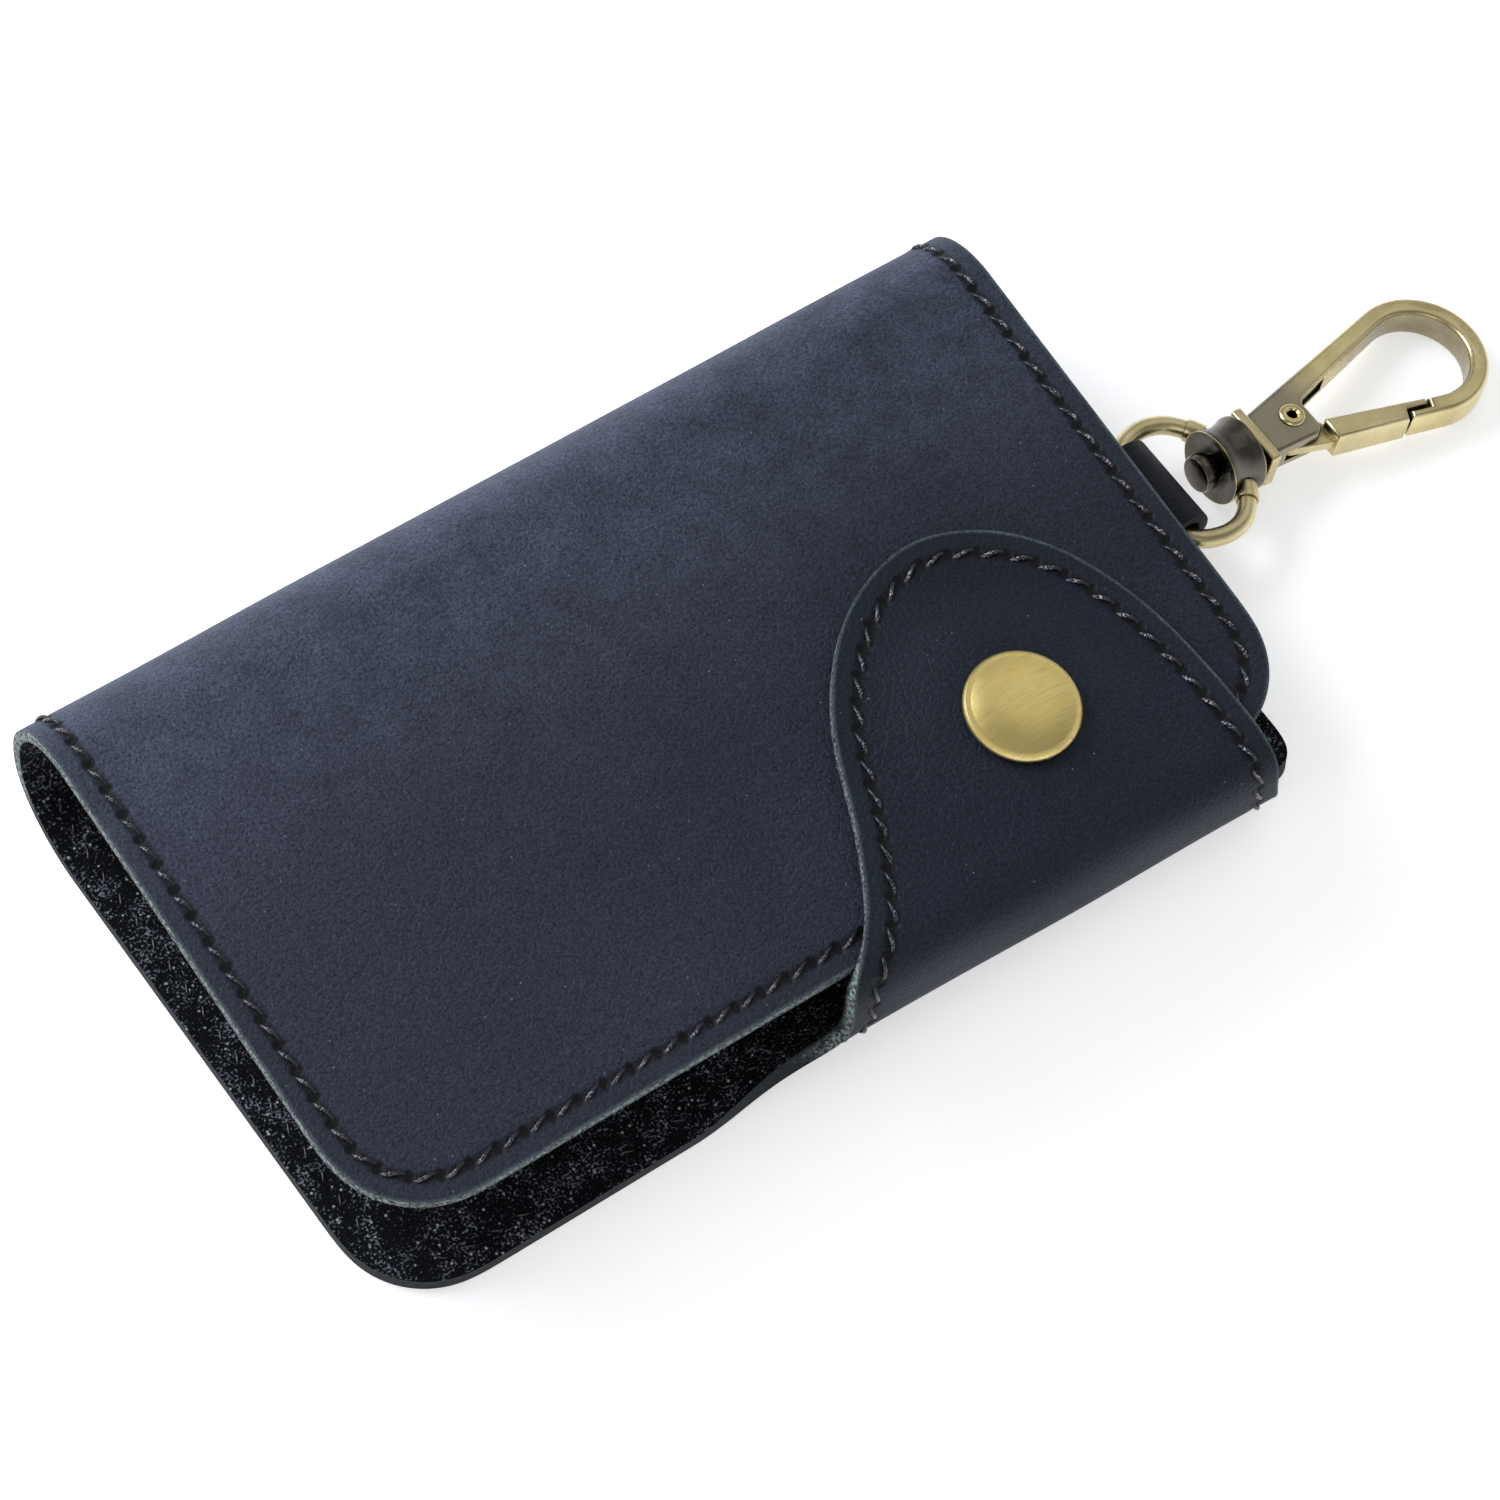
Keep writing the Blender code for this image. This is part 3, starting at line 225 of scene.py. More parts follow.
def oiled_leather(name, dark, pale, bloom_and_sheen_colour, painted_light_at_left=0.0, seamed=True):
    """The grain side, clouded dark to pale, with the colour of a pulled fold and a painted sheen.
    """
    look, tree, place = new_look(name)
    clouds = add(
        tree, "TexNoise", {"Vector": place, "Scale": 38, "Detail": 5, "Roughness": 0.62}
    ).outputs[0]
    clouds = add(tree, "MapRange", {0: clouds, 1: 0.32, 2: 0.70}).outputs[0]
    base = add(
        tree, "Mix", {0: clouds, 6: linear(dark), 7: linear(pale)}, data_type="RGBA"
    ).outputs[2]
    # Painted light: paler and more violet towards the hookless end, where more light falls
    reach = add(tree, "SeparateXYZ", {0: place}).outputs[0]
    drift = add(tree, "TexNoise", {"Vector": place, "Scale": 17, "Detail": 3}).outputs[0]
    reach = add(tree, "MapRange", {0: reach, 1: 0.052, 2: -0.060, 4: painted_light_at_left}).outputs[0]
    drift = add(tree, "MapRange", {0: drift, 1: 0.30, 2: 0.70, 3: -0.22, 4: 0.22}).outputs[0]
    thin = add(tree, "Math", {0: reach, 1: drift}, operation="ADD", use_clamp=True).outputs[0]
    base = add(tree, "Mix", {0: thin, 6: base, 7: linear("#353747")}, data_type="RGBA").outputs[2]
    # Wax pulled thin by a fold shows the paler hide beneath; on the cover, a painted sheen too
    bloom_and_sheen = add(tree, "Attribute", attribute_name="stretch_and_sheen").outputs["Fac"]
    broken = add(
        tree, "TexNoise", {"Vector": place, "Scale": 210, "Detail": 4, "Roughness": 0.7}
    ).outputs[0]
    broken = add(tree, "MapRange", {0: broken, 1: 0.30, 2: 0.65, 3: 0.35}).outputs[0]
    bloom_and_sheen = add(tree, "Math", {0: bloom_and_sheen, 1: broken}, operation="MULTIPLY").outputs[0]
    base = add(tree, "Mix", {0: bloom_and_sheen, 6: base, 7: linear(bloom_and_sheen_colour)}, data_type="RGBA").outputs[2]
    # The fine nap of an oiled face is lighter and darker within half a millimetre
    nap = add(
        tree, "TexNoise", {"Vector": place, "Scale": 3300, "Detail": 3, "Roughness": 0.75}
    ).outputs[0]
    gain = add(
        tree, "MapRange", {0: nap, 1: 0.28, 2: 0.72, 3: 0.22, 4: 1.92}, clamp=False
    ).outputs[0]
    base = add(tree, "VectorMath", {0: base, "Scale": gain}, operation="SCALE").outputs[0]
    # Rubs are long and faint; dust is one speck in a few square millimetres
    long_way = add(
        tree, "Mapping", {"Vector": place, "Rotation": (0, 0, 0.5), "Scale": (240, 1500, 700)}
    )
    rubs = add(
        tree, "TexNoise", {"Vector": long_way.outputs[0], "Scale": 1, "Detail": 3}
    ).outputs[0]
    rubs = add(tree, "MapRange", {0: rubs, 1: 0.62, 2: 0.80, 4: 0.22}).outputs[0]
    base = add(tree, "Mix", {0: rubs, 6: base, 7: linear(bloom_and_sheen_colour)}, data_type="RGBA").outputs[2]
    specks = flecks(tree, place, 620, 0.66, 0.075, 0.035, 0.5)
    base = add(tree, "Mix", {0: specks, 6: base, 7: linear("#9aa0aa")}, data_type="RGBA").outputs[2]
    # Pores, and the creases between them, lie 0.5 to 1 mm apart
    creases = add(
        tree, "TexVoronoi", {"Vector": place, "Scale": 1150}, feature="DISTANCE_TO_EDGE"
    ).outputs[0]
    creases = add(tree, "MapRange", {0: creases, 1: 0.0, 2: 0.16}).outputs[0]
    height = add(tree, "Math", {0: creases, 1: nap}, operation="ADD").outputs[0]
    if seamed:
        smooth = {"interpolation_type": "SMOOTHSTEP"}
        seam = add(tree, "UVMap", uv_map="seam").outputs[0]
        seam = add(tree, "SeparateXYZ", {0: seam}).outputs
        # Along the seam U counts stitches; V is the distance from the cut edge in mm
        margin = add(tree, "MapRange", {0: seam[1], 1: 2.9, 2: 1.9, 4: 0.30}, **smooth)
        base = add(
            tree, "Mix", {0: margin.outputs[0], 6: base, 7: linear("#222b31")}, data_type="RGBA"
        ).outputs[2]
        worn = add(tree, "MapRange", {0: seam[1], 1: 0.46, 2: 0.08, 4: 0.85}, **smooth)
        worn = add(tree, "Math", {0: worn.outputs[0], 1: broken}, operation="MULTIPLY").outputs[0]
        worn = add(
            tree, "Math", {0: worn, 1: gain}, operation="MULTIPLY", use_clamp=True
        ).outputs[0]
        base = add(
            tree, "Mix", {0: worn, 6: base, 7: linear("#5a6769")}, data_type="RGBA"
        ).outputs[2]
        off_line = add(
            tree, "Math", {0: seam[1], 1: stitch_inset * 1000}, operation="SUBTRACT"
        ).outputs[0]
        along = add(tree, "Math", {0: seam[0], 1: 0.5}, operation="PINGPONG").outputs[0]
        along = add(tree, "Math", {0: along, 1: 6.2}, operation="MULTIPLY").outputs[0]
        wide = add(tree, "Math", {0: off_line, 1: 1.45}, operation="MULTIPLY").outputs[0]
        hole = add(tree, "CombineXYZ", {0: along, 1: wide}).outputs[0]
        hole = add(tree, "VectorMath", {0: hole}, operation="LENGTH").outputs["Value"]
        hole = add(tree, "MapRange", {0: hole, 1: 1.35, 2: 0.75}, **smooth).outputs[0]
        groove = add(tree, "Math", {0: off_line}, operation="ABSOLUTE").outputs[0]
        groove = add(tree, "MapRange", {0: groove, 1: 0.95, 2: 0.30, 4: 0.62}, **smooth).outputs[0]
        # Painted shade: the needle holes and the groove along the seam are painted near black
        sunk = add(tree, "Math", {0: hole, 1: groove}, operation="MAXIMUM").outputs[0]
        base = add(
            tree, "Mix", {0: sunk, 6: base, 7: linear("#06070a")}, data_type="RGBA"
        ).outputs[2]
        deep = add(tree, "Math", {0: hole, 1: -5.0}, operation="MULTIPLY").outputs[0]
        height = add(tree, "Math", {0: height, 1: deep}, operation="ADD").outputs[0]
    rough = add(tree, "MapRange", {0: clouds, 3: 0.62, 4: 0.52}).outputs[0]
    depth = 0.65 if seamed else 0.12
    bump = add(tree, "Bump", {"Strength": depth, "Distance": 0.00007, "Height": height}).outputs[0]
    inputs = {
        "Base Color": base,
        "Roughness": rough,
        "Normal": bump,
        "Specular IOR Level": 0.22,
        "Sheen Weight": 0.06,
        "Sheen Roughness": 0.45,
        "Sheen Tint": linear("#a9b4c8"),
    }
    return dressed(look, inputs)


# The flesh side is left as split suede: near black, with short fibres whose catch of the light is
# painted as pale nap and glints.
def suede(name):
    look, tree, place = new_look(name)
    nap = add(
        tree, "TexNoise", {"Vector": place, "Scale": 3200, "Detail": 2, "Roughness": 0.6}
    ).outputs[0]
    clumps = add(tree, "TexNoise", {"Vector": place, "Scale": 420, "Detail": 3}).outputs[0]
    shift = add(tree, "MapRange", {0: clumps, 1: 0.35, 2: 0.65, 3: -0.08, 4: 0.06}).outputs[0]
    both = add(tree, "Math", {0: nap, 1: shift}, operation="ADD").outputs[0]
    # Painted highlight: pale nap where the fibres would catch the light, and glints below
    painted_lit_nap = add(tree, "MapRange", {0: both, 1: 0.55, 2: 0.70}).outputs[0]
    base = add(
        tree, "Mix", {0: painted_lit_nap, 6: linear("#0b0d11"), 7: linear("#858a97")}, data_type="RGBA"
    ).outputs[2]
    painted_glints = flecks(tree, place, 1900, 0.88, 0.36, 0.12, 0.9)
    base = add(tree, "Mix", {0: painted_glints, 6: base, 7: linear("#cdd1da")}, data_type="RGBA").outputs[2]
    height = add(tree, "Math", {0: nap, 1: clumps}, operation="ADD").outputs[0]
    bump = add(tree, "Bump", {"Strength": 0.8, "Distance": 0.00012, "Height": height}).outputs[0]
    inputs = {
        "Base Color": base,
        "Roughness": 0.92,
        "Normal": bump,
        "Specular IOR Level": 0.15,
    }
    return dressed(look, inputs)


# Cut edges are sealed with a grey-green edge dye over the pressed fibre, and show the
# tan of the raw hide where the dye has missed it towards the hook end.
def cut_edge(name):
    look, tree, place = new_look(name)
    fibre = add(
        tree, "TexNoise", {"Vector": place, "Scale": 1100, "Detail": 4, "Roughness": 0.65}
    ).outputs[0]
    fibre = add(tree, "MapRange", {0: fibre, 1: 0.30, 2: 0.70}).outputs[0]
    base = add(
        tree, "Mix", {0: fibre, 6: linear("#171b1e"), 7: linear("#262c30")}, data_type="RGBA"
    ).outputs[2]
    # The edge is paler in fine broken flecks towards its grain face, fading in from 3.5 to 6 mm up
    wall = add(tree, "SeparateXYZ", {0: add(tree, "UVMap", uv_map="seam").outputs[0]}).outputs[1]
    lip = add(tree, "MapRange", {0: wall, 1: -1.50, 2: -0.95}).outputs[0]
    broken = add(
        tree, "TexNoise", {"Vector": place, "Scale": 2500, "Detail": 3, "Roughness": 0.7}
    ).outputs[0]
    broken = add(tree, "MapRange", {0: broken, 1: 0.43, 2: 0.60}).outputs[0]
    lip = add(tree, "Math", {0: lip, 1: broken}, operation="MULTIPLY").outputs[0]
    spot = add(tree, "SeparateXYZ", {0: place}).outputs
    above = add(tree, "MapRange", {0: spot[2], 1: 0.0035, 2: 0.0060}).outputs[0]
    lip = add(tree, "Math", {0: lip, 1: above}, operation="MULTIPLY").outputs[0]
    base = add(tree, "Mix", {0: lip, 6: base, 7: linear("#a3b0af")}, data_type="RGBA").outputs[2]
    reach = add(tree, "MapRange", {0: spot[0], 1: 0.040, 2: 0.056}).outputs[0]
    missed = add(tree, "TexNoise", {"Vector": place, "Scale": 330, "Detail": 3}).outputs[0]
    missed = add(tree, "MapRange", {0: missed, 1: 0.45, 2: 0.62, 4: 0.6}).outputs[0]
    missed = add(tree, "Math", {0: missed, 1: reach}, operation="MULTIPLY").outputs[0]
    base = add(tree, "Mix", {0: missed, 6: base, 7: linear("#6a5434")}, data_type="RGBA").outputs[2]
    bump = add(tree, "Bump", {"Strength": 0.6, "Distance": 0.00012, "Height": fibre}).outputs[0]
    inputs = {
        "Base Color": base,
        "Roughness": 0.72,
        "Normal": bump,
        "Specular IOR Level": 0.30,
    }
    return dressed(look, inputs)


stitch_inset = 0.0026
stitch_pitch = 0.00314

# The cover takes painted light, paler towards its hookless end
cover_grain = oiled_leather(
    "cowhide, dyed blue-black, oiled and waxed", "#1b1f29", "#262a36", "#4e5669", painted_light_at_left=0.85
)
back_grain = oiled_leather(
    "cowhide, dyed blue-black, more oil left in", "#101723", "#18202d", "#1b222e"
)
flesh_side = suede("split suede, dyed black")
edge_side = cut_edge("cut hide, edge dyed")

# Back and tab: one blank of 1.6 mm leather. It lies flat on the table as the back panel, turns
# up round the free edge, and its tongue goes on over the cover as the closure tab.
half_length = 0.0575
half_width = 0.03525
back_leather = 0.0016
back_corner = 0.0100
back_hook_corner = 0.0050
side_curl_share = 0.4
split_y = 0.018
cover_inset = 0.0023
cover_free_y = cover_inset - half_width
cover_reach = half_width - cover_free_y
spine_height_left = 0.022
spine_height_right = 0.020
free_height_left = 0.0144
free_height_right = 0.0126
spine_bend = 0.0108
tab_right = half_length - 0.0080
tab_width = 0.0533
tab_left = tab_right - tab_width
tab_stand_left = 0.00125
tab_stand_right = 0.00275
tab_bend = 0.0100
tab_top_bend = 0.0065
top_round_share = 0.8
tab_axis_height = 0.0081
tab_tip = 0.0019
tab_overrun = 0.0040
tab_root_sweep = 0.0102
tab_root_blend = 0.0180
tab_notch = 0.0012
tab_gap = 0.0006
hinge_lead = 0.0004
hinge_gap = 0.0003
snap_x = tab_right - 0.0214
snap_y = -0.0197
snap_rise = 0.0020
snap_rise_radius = 0.0175
snap_flat_radius = 0.0060
# How far along the tab and how far up it, from its root on the left over the tip
tab_left_shares = ((0, 0.020), (0.105, 0.165), (0.195, 0.390), (0.276, 0.655), (0.379, 0.842))
tab_tip_shares = ((0.493, 0.953), (0.642, 1), (0.784, 0.930))
tab_right_shares = ((0.893, 0.778), (0.963, 0.554), (0.990, 0.335), (1, 0.150))
tab_outline_shares = tab_left_shares + tab_tip_shares + tab_right_shares
fold_steps = 40
top_steps = 60
fine_gap = 0.0001
knife_gap = 0.0005
knife_passes = 26


def cover_height(x, y):
    """The cover's outer face over the table."""
    along = (x + half_length) / (2 * half_length)
    high = spine_height_left + (spine_height_right - spine_height_left) * along
    low = free_height_left + (free_height_right - free_height_left) * along
    return low + (high - low) * (y - cover_free_y) / (cover_reach - spine_bend)


def tab_height(x, y):
    """The tab's outer face, lifted round the snap that holds the two leathers apart."""
    distance = max(0, math.hypot(x - snap_x, y - snap_y) - snap_flat_radius)
    slope = min(1, distance / (snap_rise_radius - snap_flat_radius))
    lifted = snap_rise * (0.5 + 0.5 * math.cos(math.pi * slope))
    return cover_height(x, y) + tab_gap + back_leather + lifted


def tab_fold_out(x):
    """How far out in Y the tab's fold stands."""
    along = (x - tab_left) / tab_width
    return -half_width - tab_stand_left - (tab_stand_right - tab_stand_left) * along


def bend(start, corner, end, steps, round_share=0.5523):
    """A bend that is tangent to the two lines that meet at its corner."""
    start, corner, end = Vector(start), Vector(corner), Vector(end)
    first = start.lerp(corner, round_share)
    second = end.lerp(corner, round_share)
    points = []
    for step in range(steps + 1):
        t = step / steps
        s = 1 - t
        points.append(s**3 * start + 3 * s**2 * t * first + 3 * s * t**2 * second + t**3 * end)
    return points


def smooth_through(points, steps):
    """A Catmull-Rom curve through the points."""
    ends = [2 * points[0] - points[1], *points, 2 * points[-1] - points[-2]]
    out = [points[0]]
    for i in range(1, len(ends) - 2):
        a, b, c, d = ends[i - 1 : i + 3]
        for step in range(1, steps + 1):
            t = step / steps
            squared = (2 * a - 5 * b + 4 * c - d) * t**2
            cubed = (3 * b - a - 3 * c + d) * t**3
            out.append((2 * b + (c - a) * t + squared + cubed) / 2)
    return out


def measured(points):
    """A path with the length up to each of its points."""
    lengths = [0.0]
    for a, b in zip(points, points[1:]):
        lengths.append(lengths[-1] + (b - a).length)
    return points, lengths


def at(path, distance):
    """The point of a measured path at this distance, or beyond its last point in line with it."""
    points, lengths = path
    i = min(max(1, bisect_left(lengths, distance)), len(points) - 1)
    share = (distance - lengths[i - 1]) / (lengths[i] - lengths[i - 1])
    return points[i - 1] + (points[i] - points[i - 1]) * share


@lru_cache(maxsize=None)
def tab_section(x):
    """The outer face from the start of the fold to past the tab's tip, and its hinge's place."""
    out = tab_fold_out(x)
    low = Vector((out, tab_axis_height - hinge_gap / 2))
    high = Vector((out, tab_axis_height + hinge_gap / 2))
    lead = Vector((0, hinge_lead))
    wall = [*bend((out + tab_bend, 0), (out, 0), low - lead, fold_steps), low]
    top_y = out + tab_top_bend
    corner = Vector((out, tab_height(x, out)))
    top = Vector((top_y, tab_height(x, top_y)))
    over = [high, *bend(high + lead, corner, top, fold_steps, top_round_share)]
    reach = tab_tip + tab_overrun - top_y
    for step in range(1, top_steps + 1):
        y = top_y + reach * step / top_steps
        over.append(Vector((y, tab_height(x, y))))
    path = measured([*wall, *over])
    return path, path[1][len(wall) - 1]


def curl(x):
    """How much of the fold the back panel takes: all of it under the tab, little past it."""
    if x < tab_left:
        share = max(0, 1 - (tab_left - x) / tab_root_blend)
    else:
        past = max(0, x - tab_right) / (half_length - tab_right)
        share = max(0, 1 - past * (1 - side_curl_share))
    return share * share * (3 - 2 * share)


def back_place(x, y):
    """Where a point of the flat blank lies on the made pouch. Past the fold Y runs up the tab."""
    distance = tab_fold_out(x) + tab_bend - y
    if distance <= 0:
        return Vector((x, y, 0))
    bent = at(tab_section(round(x, 6))[0], distance)
    return Vector((x, y, 0)).lerp(Vector((x, bent.x, bent.y)), curl(x))


def corner_arc(centre, radius, start, end, steps=16):
    """Points round a corner of a blank, angles in degrees."""
    points = []
    for step in range(steps + 1):
        turn = math.radians(start + (end - start) * step / steps)
        x, y = centre[0] + radius * math.cos(turn), centre[1] + radius * math.sin(turn)
        points.append(Vector((x, y)))
    return points


def even(points, gap):
    """The same line with its points evenly spaced."""
    path = measured(points)
    count = round(path[1][-1] / gap)
    return [at(path, path[1][-1] * step / count) for step in range(count + 1)]


def knife_line(points):
    """The line that a knife follows, evenly spaced and with its small corners rounded."""
    points = even(points, knife_gap)
    for _ in range(knife_passes):
        inner = [(a + 2 * b + c) / 4 for a, b, c in zip(points, points[1:], points[2:])]
        points = [points[0], *inner, points[-1]]
    return points


def fold_side(x, share):
    """A point of the cut edge beside the tab, from the top of the fold down to the free edge."""
    start = tab_fold_out(x) + tab_bend
    full = tab_section(x)[1]
    return Vector((x, start - full + (full - start - half_width) * share))


def quarter_turn(steps):
    return [math.pi / 2 * step / steps for step in range(steps + 1)]


def back_outline():
    """The blank's cut edge, from the split on the left round the free edge and the tab."""
    left = Vector((-half_length, split_y))
    corner = (back_corner - half_length, back_corner - half_width)
    points = [left, *corner_arc(corner, back_corner, 180, 270)]
    for turn in quarter_turn(16):
        points.append(fold_side(tab_left - tab_root_sweep * (1 - math.sin(turn)), math.cos(turn)))
    arch = []
    for across_share, up_share in tab_outline_shares:
        x = tab_left + tab_width * across_share
        foot = tab_fold_out(x)
        arch.append(Vector((x, foot + (tab_tip - foot) * up_share)))
    for place in smooth_through(arch, 8):
        x = min(place.x, tab_right)
        (section, lengths), full = tab_section(x)
        i = next(i for i, p in enumerate(section) if lengths[i] > full and p.x >= place.y)
        a, b = section[i - 1], section[i]
        reach = lengths[i - 1] + (lengths[i] - lengths[i - 1]) * (place.y - a.x) / (b.x - a.x)
        points.append(Vector((x, tab_fold_out(x) + tab_bend - reach)))
    for turn in quarter_turn(8):
        points.append(fold_side(tab_right + tab_notch * math.sin(turn), 1 - math.cos(turn)))
    corner = (half_length - back_hook_corner, back_hook_corner - half_width)
    points += [*corner_arc(corner, back_hook_corner, 270, 360), Vector((half_length, split_y))]
    return knife_line(points)


def seam_line(outline):
    """The line that the awl follows, inside the cut edge."""
    line = []
    for i, point in enumerate(outline):
        way = outline[min(i + 1, len(outline) - 1)] - outline[max(i - 1, 0)]
        inward = Vector((-way.y, way.x)).normalized()
        line.append(point + inward * stitch_inset)
    return line


def nearest(points):
    """A tree that finds the nearest of these points."""
    tree = kdtree.KDTree(len(points))
    for i, point in enumerate(points):
        tree.insert((point.x, point.y, 0), i)
    tree.balance()
    return tree


def outer_face(place, turn, x, y, lift):
    """A point above a blank's outer face once it is folded, and the way out from it."""
    middle = place(x, y)
    along = place(x + fine_gap, y) - place(x - fine_gap, y)
    out = along.cross(place(x, y + fine_gap) - place(x, y - fine_gap)).normalized() * turn
    return middle + out * lift, out


def hump(value, middle, width, height=1):
    return height * math.exp(-(((value - middle) / width) ** 2))


def round_over(bm, edges, size, segments=3, clamp_overlap=True):
    """Rounds these edges of a mesh."""
    settings = {"profile": 0.5, "affect": "EDGES", "material": -1, "clamp_overlap": clamp_overlap}
    bmesh.ops.bevel(bm, geom=edges, offset=size, segments=segments, **settings)


# Rings from the cut edge inwards, closest where the arris and the needle line lie
edge_rings = (0.00030, 0.00040, 0.00060, 0.00065, 0.00030, 0.00035, 0.00035, 0.00030, 0.00070)
arris_break = 0.00018
groove_depth = 0.00008
groove_width = 0.00045
needle_dent = 0.00014
needle_share = 0.14
settle_depth = 0.00016
settle_scale = 45
table_touch = 0.001
table_clear = 0.005
beyond_split = Vector((0, 0.01))


def cut_blank(outline, split, stations, spread):
    """A blank as it is cut, flat, with rings that follow its edge and lines across it."""
    corners = [outline[0] + beyond_split, *outline, outline[-1] + beyond_split]
    bm = bmesh.new()
    face = bm.faces.new([bm.verts.new((p.x, p.y, 0)) for p in corners])
    for ring in edge_rings:
        even_ring = {"thickness": ring, "use_even_offset": True, "use_boundary": True}
        bmesh.ops.inset_region(bm, faces=[face], **even_ring)
    cut_across(bm, (0, split, 0), (0, 1, 0), dist=1e-7, clear_outer=True)
    for y in stations:
        cut_across(bm, (0, y, 0), (0, 1, 0))
    for i in range(1, round(2 * half_length / spread)):
        cut_across(bm, (-half_length + spread * i, 0, 0), (1, 0, 0))
    return bm


def sheet(place, turn, outline, split, stations, thickness, stretch_and_sheen, spread=0.002):
    """A blank cut, given its thickness, folded and sewn down, with its arrises broken."""
    bm = cut_blank(outline, split, stations, spread)
    edge_tree = nearest(even(outline, fine_gap))
    seam = even(seam_line(outline), fine_gap)
    seam_tree = nearest(seam)
    stitches = round(len(seam) * fine_gap / stitch_pitch)
    uv = bm.loops.layers.uv.new("seam")
    pull = bm.verts.layers.float.new("stretch_and_sheen")
    grown = bmesh.ops.extrude_face_region(bm, geom=bm.faces[:], use_keep_orig=True)["geom"]
    flesh = {item for item in grown if not isinstance(item, bmesh.types.BMEdge)}
    cut_off = {vert for vert in bm.verts if abs(vert.co.y - split) < 1e-7}
    spots = {}
    for vert in bm.verts:
        flat = vert.co.copy()
        inset = edge_tree.find(flat)[2]
        along = seam_tree.find(flat)[1] / (len(seam) - 1) * stitches
        spots[vert] = (along, inset * 1000)
        dent = groove_depth + needle_dent * hump(along - round(along), 0, needle_share)
        sunk = dent * hump(inset, stitch_inset, groove_width)
        folded = place(flat.x, flat.y)
        # Leather settles unevenly, but stays flat where it lies on the table
        off_table = min(1, max(0, folded.z - table_touch) / table_clear)
        settled = settle_depth * noise.noise(folded * settle_scale) * off_table
        lift = settled + sunk - thickness if vert in flesh else settled - sunk
        vert.co = outer_face(place, turn, flat.x, flat.y, lift)[0]
        vert[pull] = stretch_and_sheen(flat.x, flat.y)
    for face in bm.faces:
        kept = sum(vert in flesh for vert in face.verts)
        face.material_index = 0 if kept == 0 else 1 if kept == len(face.verts) else 2
        for loop in face.loops:
            along, inset = spots[loop.vert]
            if face.material_index == 2:
                inset = -thickness * 1000 if loop.vert in flesh else 0
            loop[uv].uv = (along, inset)
    bmesh.ops.recalc_face_normals(bm, faces=bm.faces)
    arris = []
    for edge in bm.edges:
        kinds = {face.material_index for face in edge.link_faces}
        if len(kinds) == 2 and not all(vert in cut_off for vert in edge.verts):
            arris.append(edge)
    round_over(bm, arris, arris_break, 2)
    return bm


def piece(name, bm, looks, nodes, body=None, sharp=40):
    """Makes the mesh a piece of the pouch that stands for its CAD nodes."""
    mesh = mesh_of(name, bm)
    for look in looks:
        mesh.materials.append(look)
    mesh.shade_smooth()
    mesh.set_sharp_from_angle(angle=math.radians(sharp))
    obj = linked(name, mesh)
    if body:
        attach(obj, body)
    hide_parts(*nodes)
    return obj


# Where a bloom is strongest, how wide it is, and how strong
fold_top_bloom = (0.0205, 0.0045, 0.65)
fold_foot_bloom = (0.0080, 0.0050, 0.30)
snap_bloom = (0.0095, 0.0028, 0.22)
snap_distance = 0.0395


def back_stretch(x, y):
    """How far the leather is pulled: most over the top of the fold, less at its foot."""
    distance = tab_fold_out(x) + tab_bend - y
    share = hump(distance, *fold_top_bloom) + hump(distance, *fold_foot_bloom)
    share += hump(math.hypot(x - snap_x, distance - snap_distance), *snap_bloom)
    return min(1, share) * curl(x)


fold_foot = tab_bend - half_width - tab_stand_right
# Lines across the blank stand wide apart on the flat back and close together in the fold
back_stations = [split_y - 0.0045 * i for i in range(1, 10)]
back_stations += [fold_foot + 0.001 - 0.0006 * i for i in range(45)]
back_stations += [back_stations[-1] - 0.0018 * i for i in range(1, 24)]
back_edge = back_outline()
back_cut = (back_edge, split_y, back_stations, back_leather)
back_blank = sheet(back_place, -1, *back_cut, back_stretch)
back_looks = (back_grain, flesh_side, edge_side)
back_nodes = ("back_panel", "closure_tab")
back_and_tab = piece("leather_back_and_tab", back_blank, back_looks, back_nodes)
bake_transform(back_and_tab)

# Spine and cover: the second blank, 1.3 mm thick. It meets the first one edge to edge in the
# flat back, turns up round the spine fold and lies over the keys as the cover.
cover_leather = 0.0013
cover_corner = 0.0110
spine_axis_height = 0.0105
bend_start = half_width - spine_bend


@lru_cache(maxsize=None)
def spine_section(x):
    """The outer face from the top of the spine bend round the fold to the flat back."""
    top = Vector((half_width, spine_axis_height + hinge_gap / 2))
    low = Vector((half_width, spine_axis_height - hinge_gap / 2))
    lead = Vector((0, hinge_lead))
    corner = (half_width, cover_height(x, half_width))
    over = bend((bend_start, cover_height(x, bend_start)), corner, top + lead, fold_steps)
    under = bend(low - lead, (half_width, 0), (bend_start, 0), fold_steps)
    return measured([*over, top, low, *under, Vector((split_y, 0))])


spine_run = spine_section(0)[1][-1]
spine_split = bend_start + spine_run


def cover_place(x, y):
    """Where a point of the flat blank lies. Past the top of the spine Y runs round the fold."""
    if y <= bend_start:
        return Vector((x, y, cover_height(x, y)))
    section = spine_section(round(x, 6))
    bent = at(section, (y - bend_start) * section[1][-1] / spine_run)
    return Vector((x, bent.x, bent.y))


def cover_outline(reach, free_y, top):
    """The cut edge of the cover or its lining, round both corners of the free edge."""
    corner = (cover_corner - reach, free_y + cover_corner)
    points = [Vector((-reach, top)), *corner_arc(corner, cover_corner, 180, 270)]
    other = (reach - cover_corner, free_y + cover_corner)
    points += [*corner_arc(other, cover_corner, 270, 360), Vector((reach, top))]
    return knife_line(points)


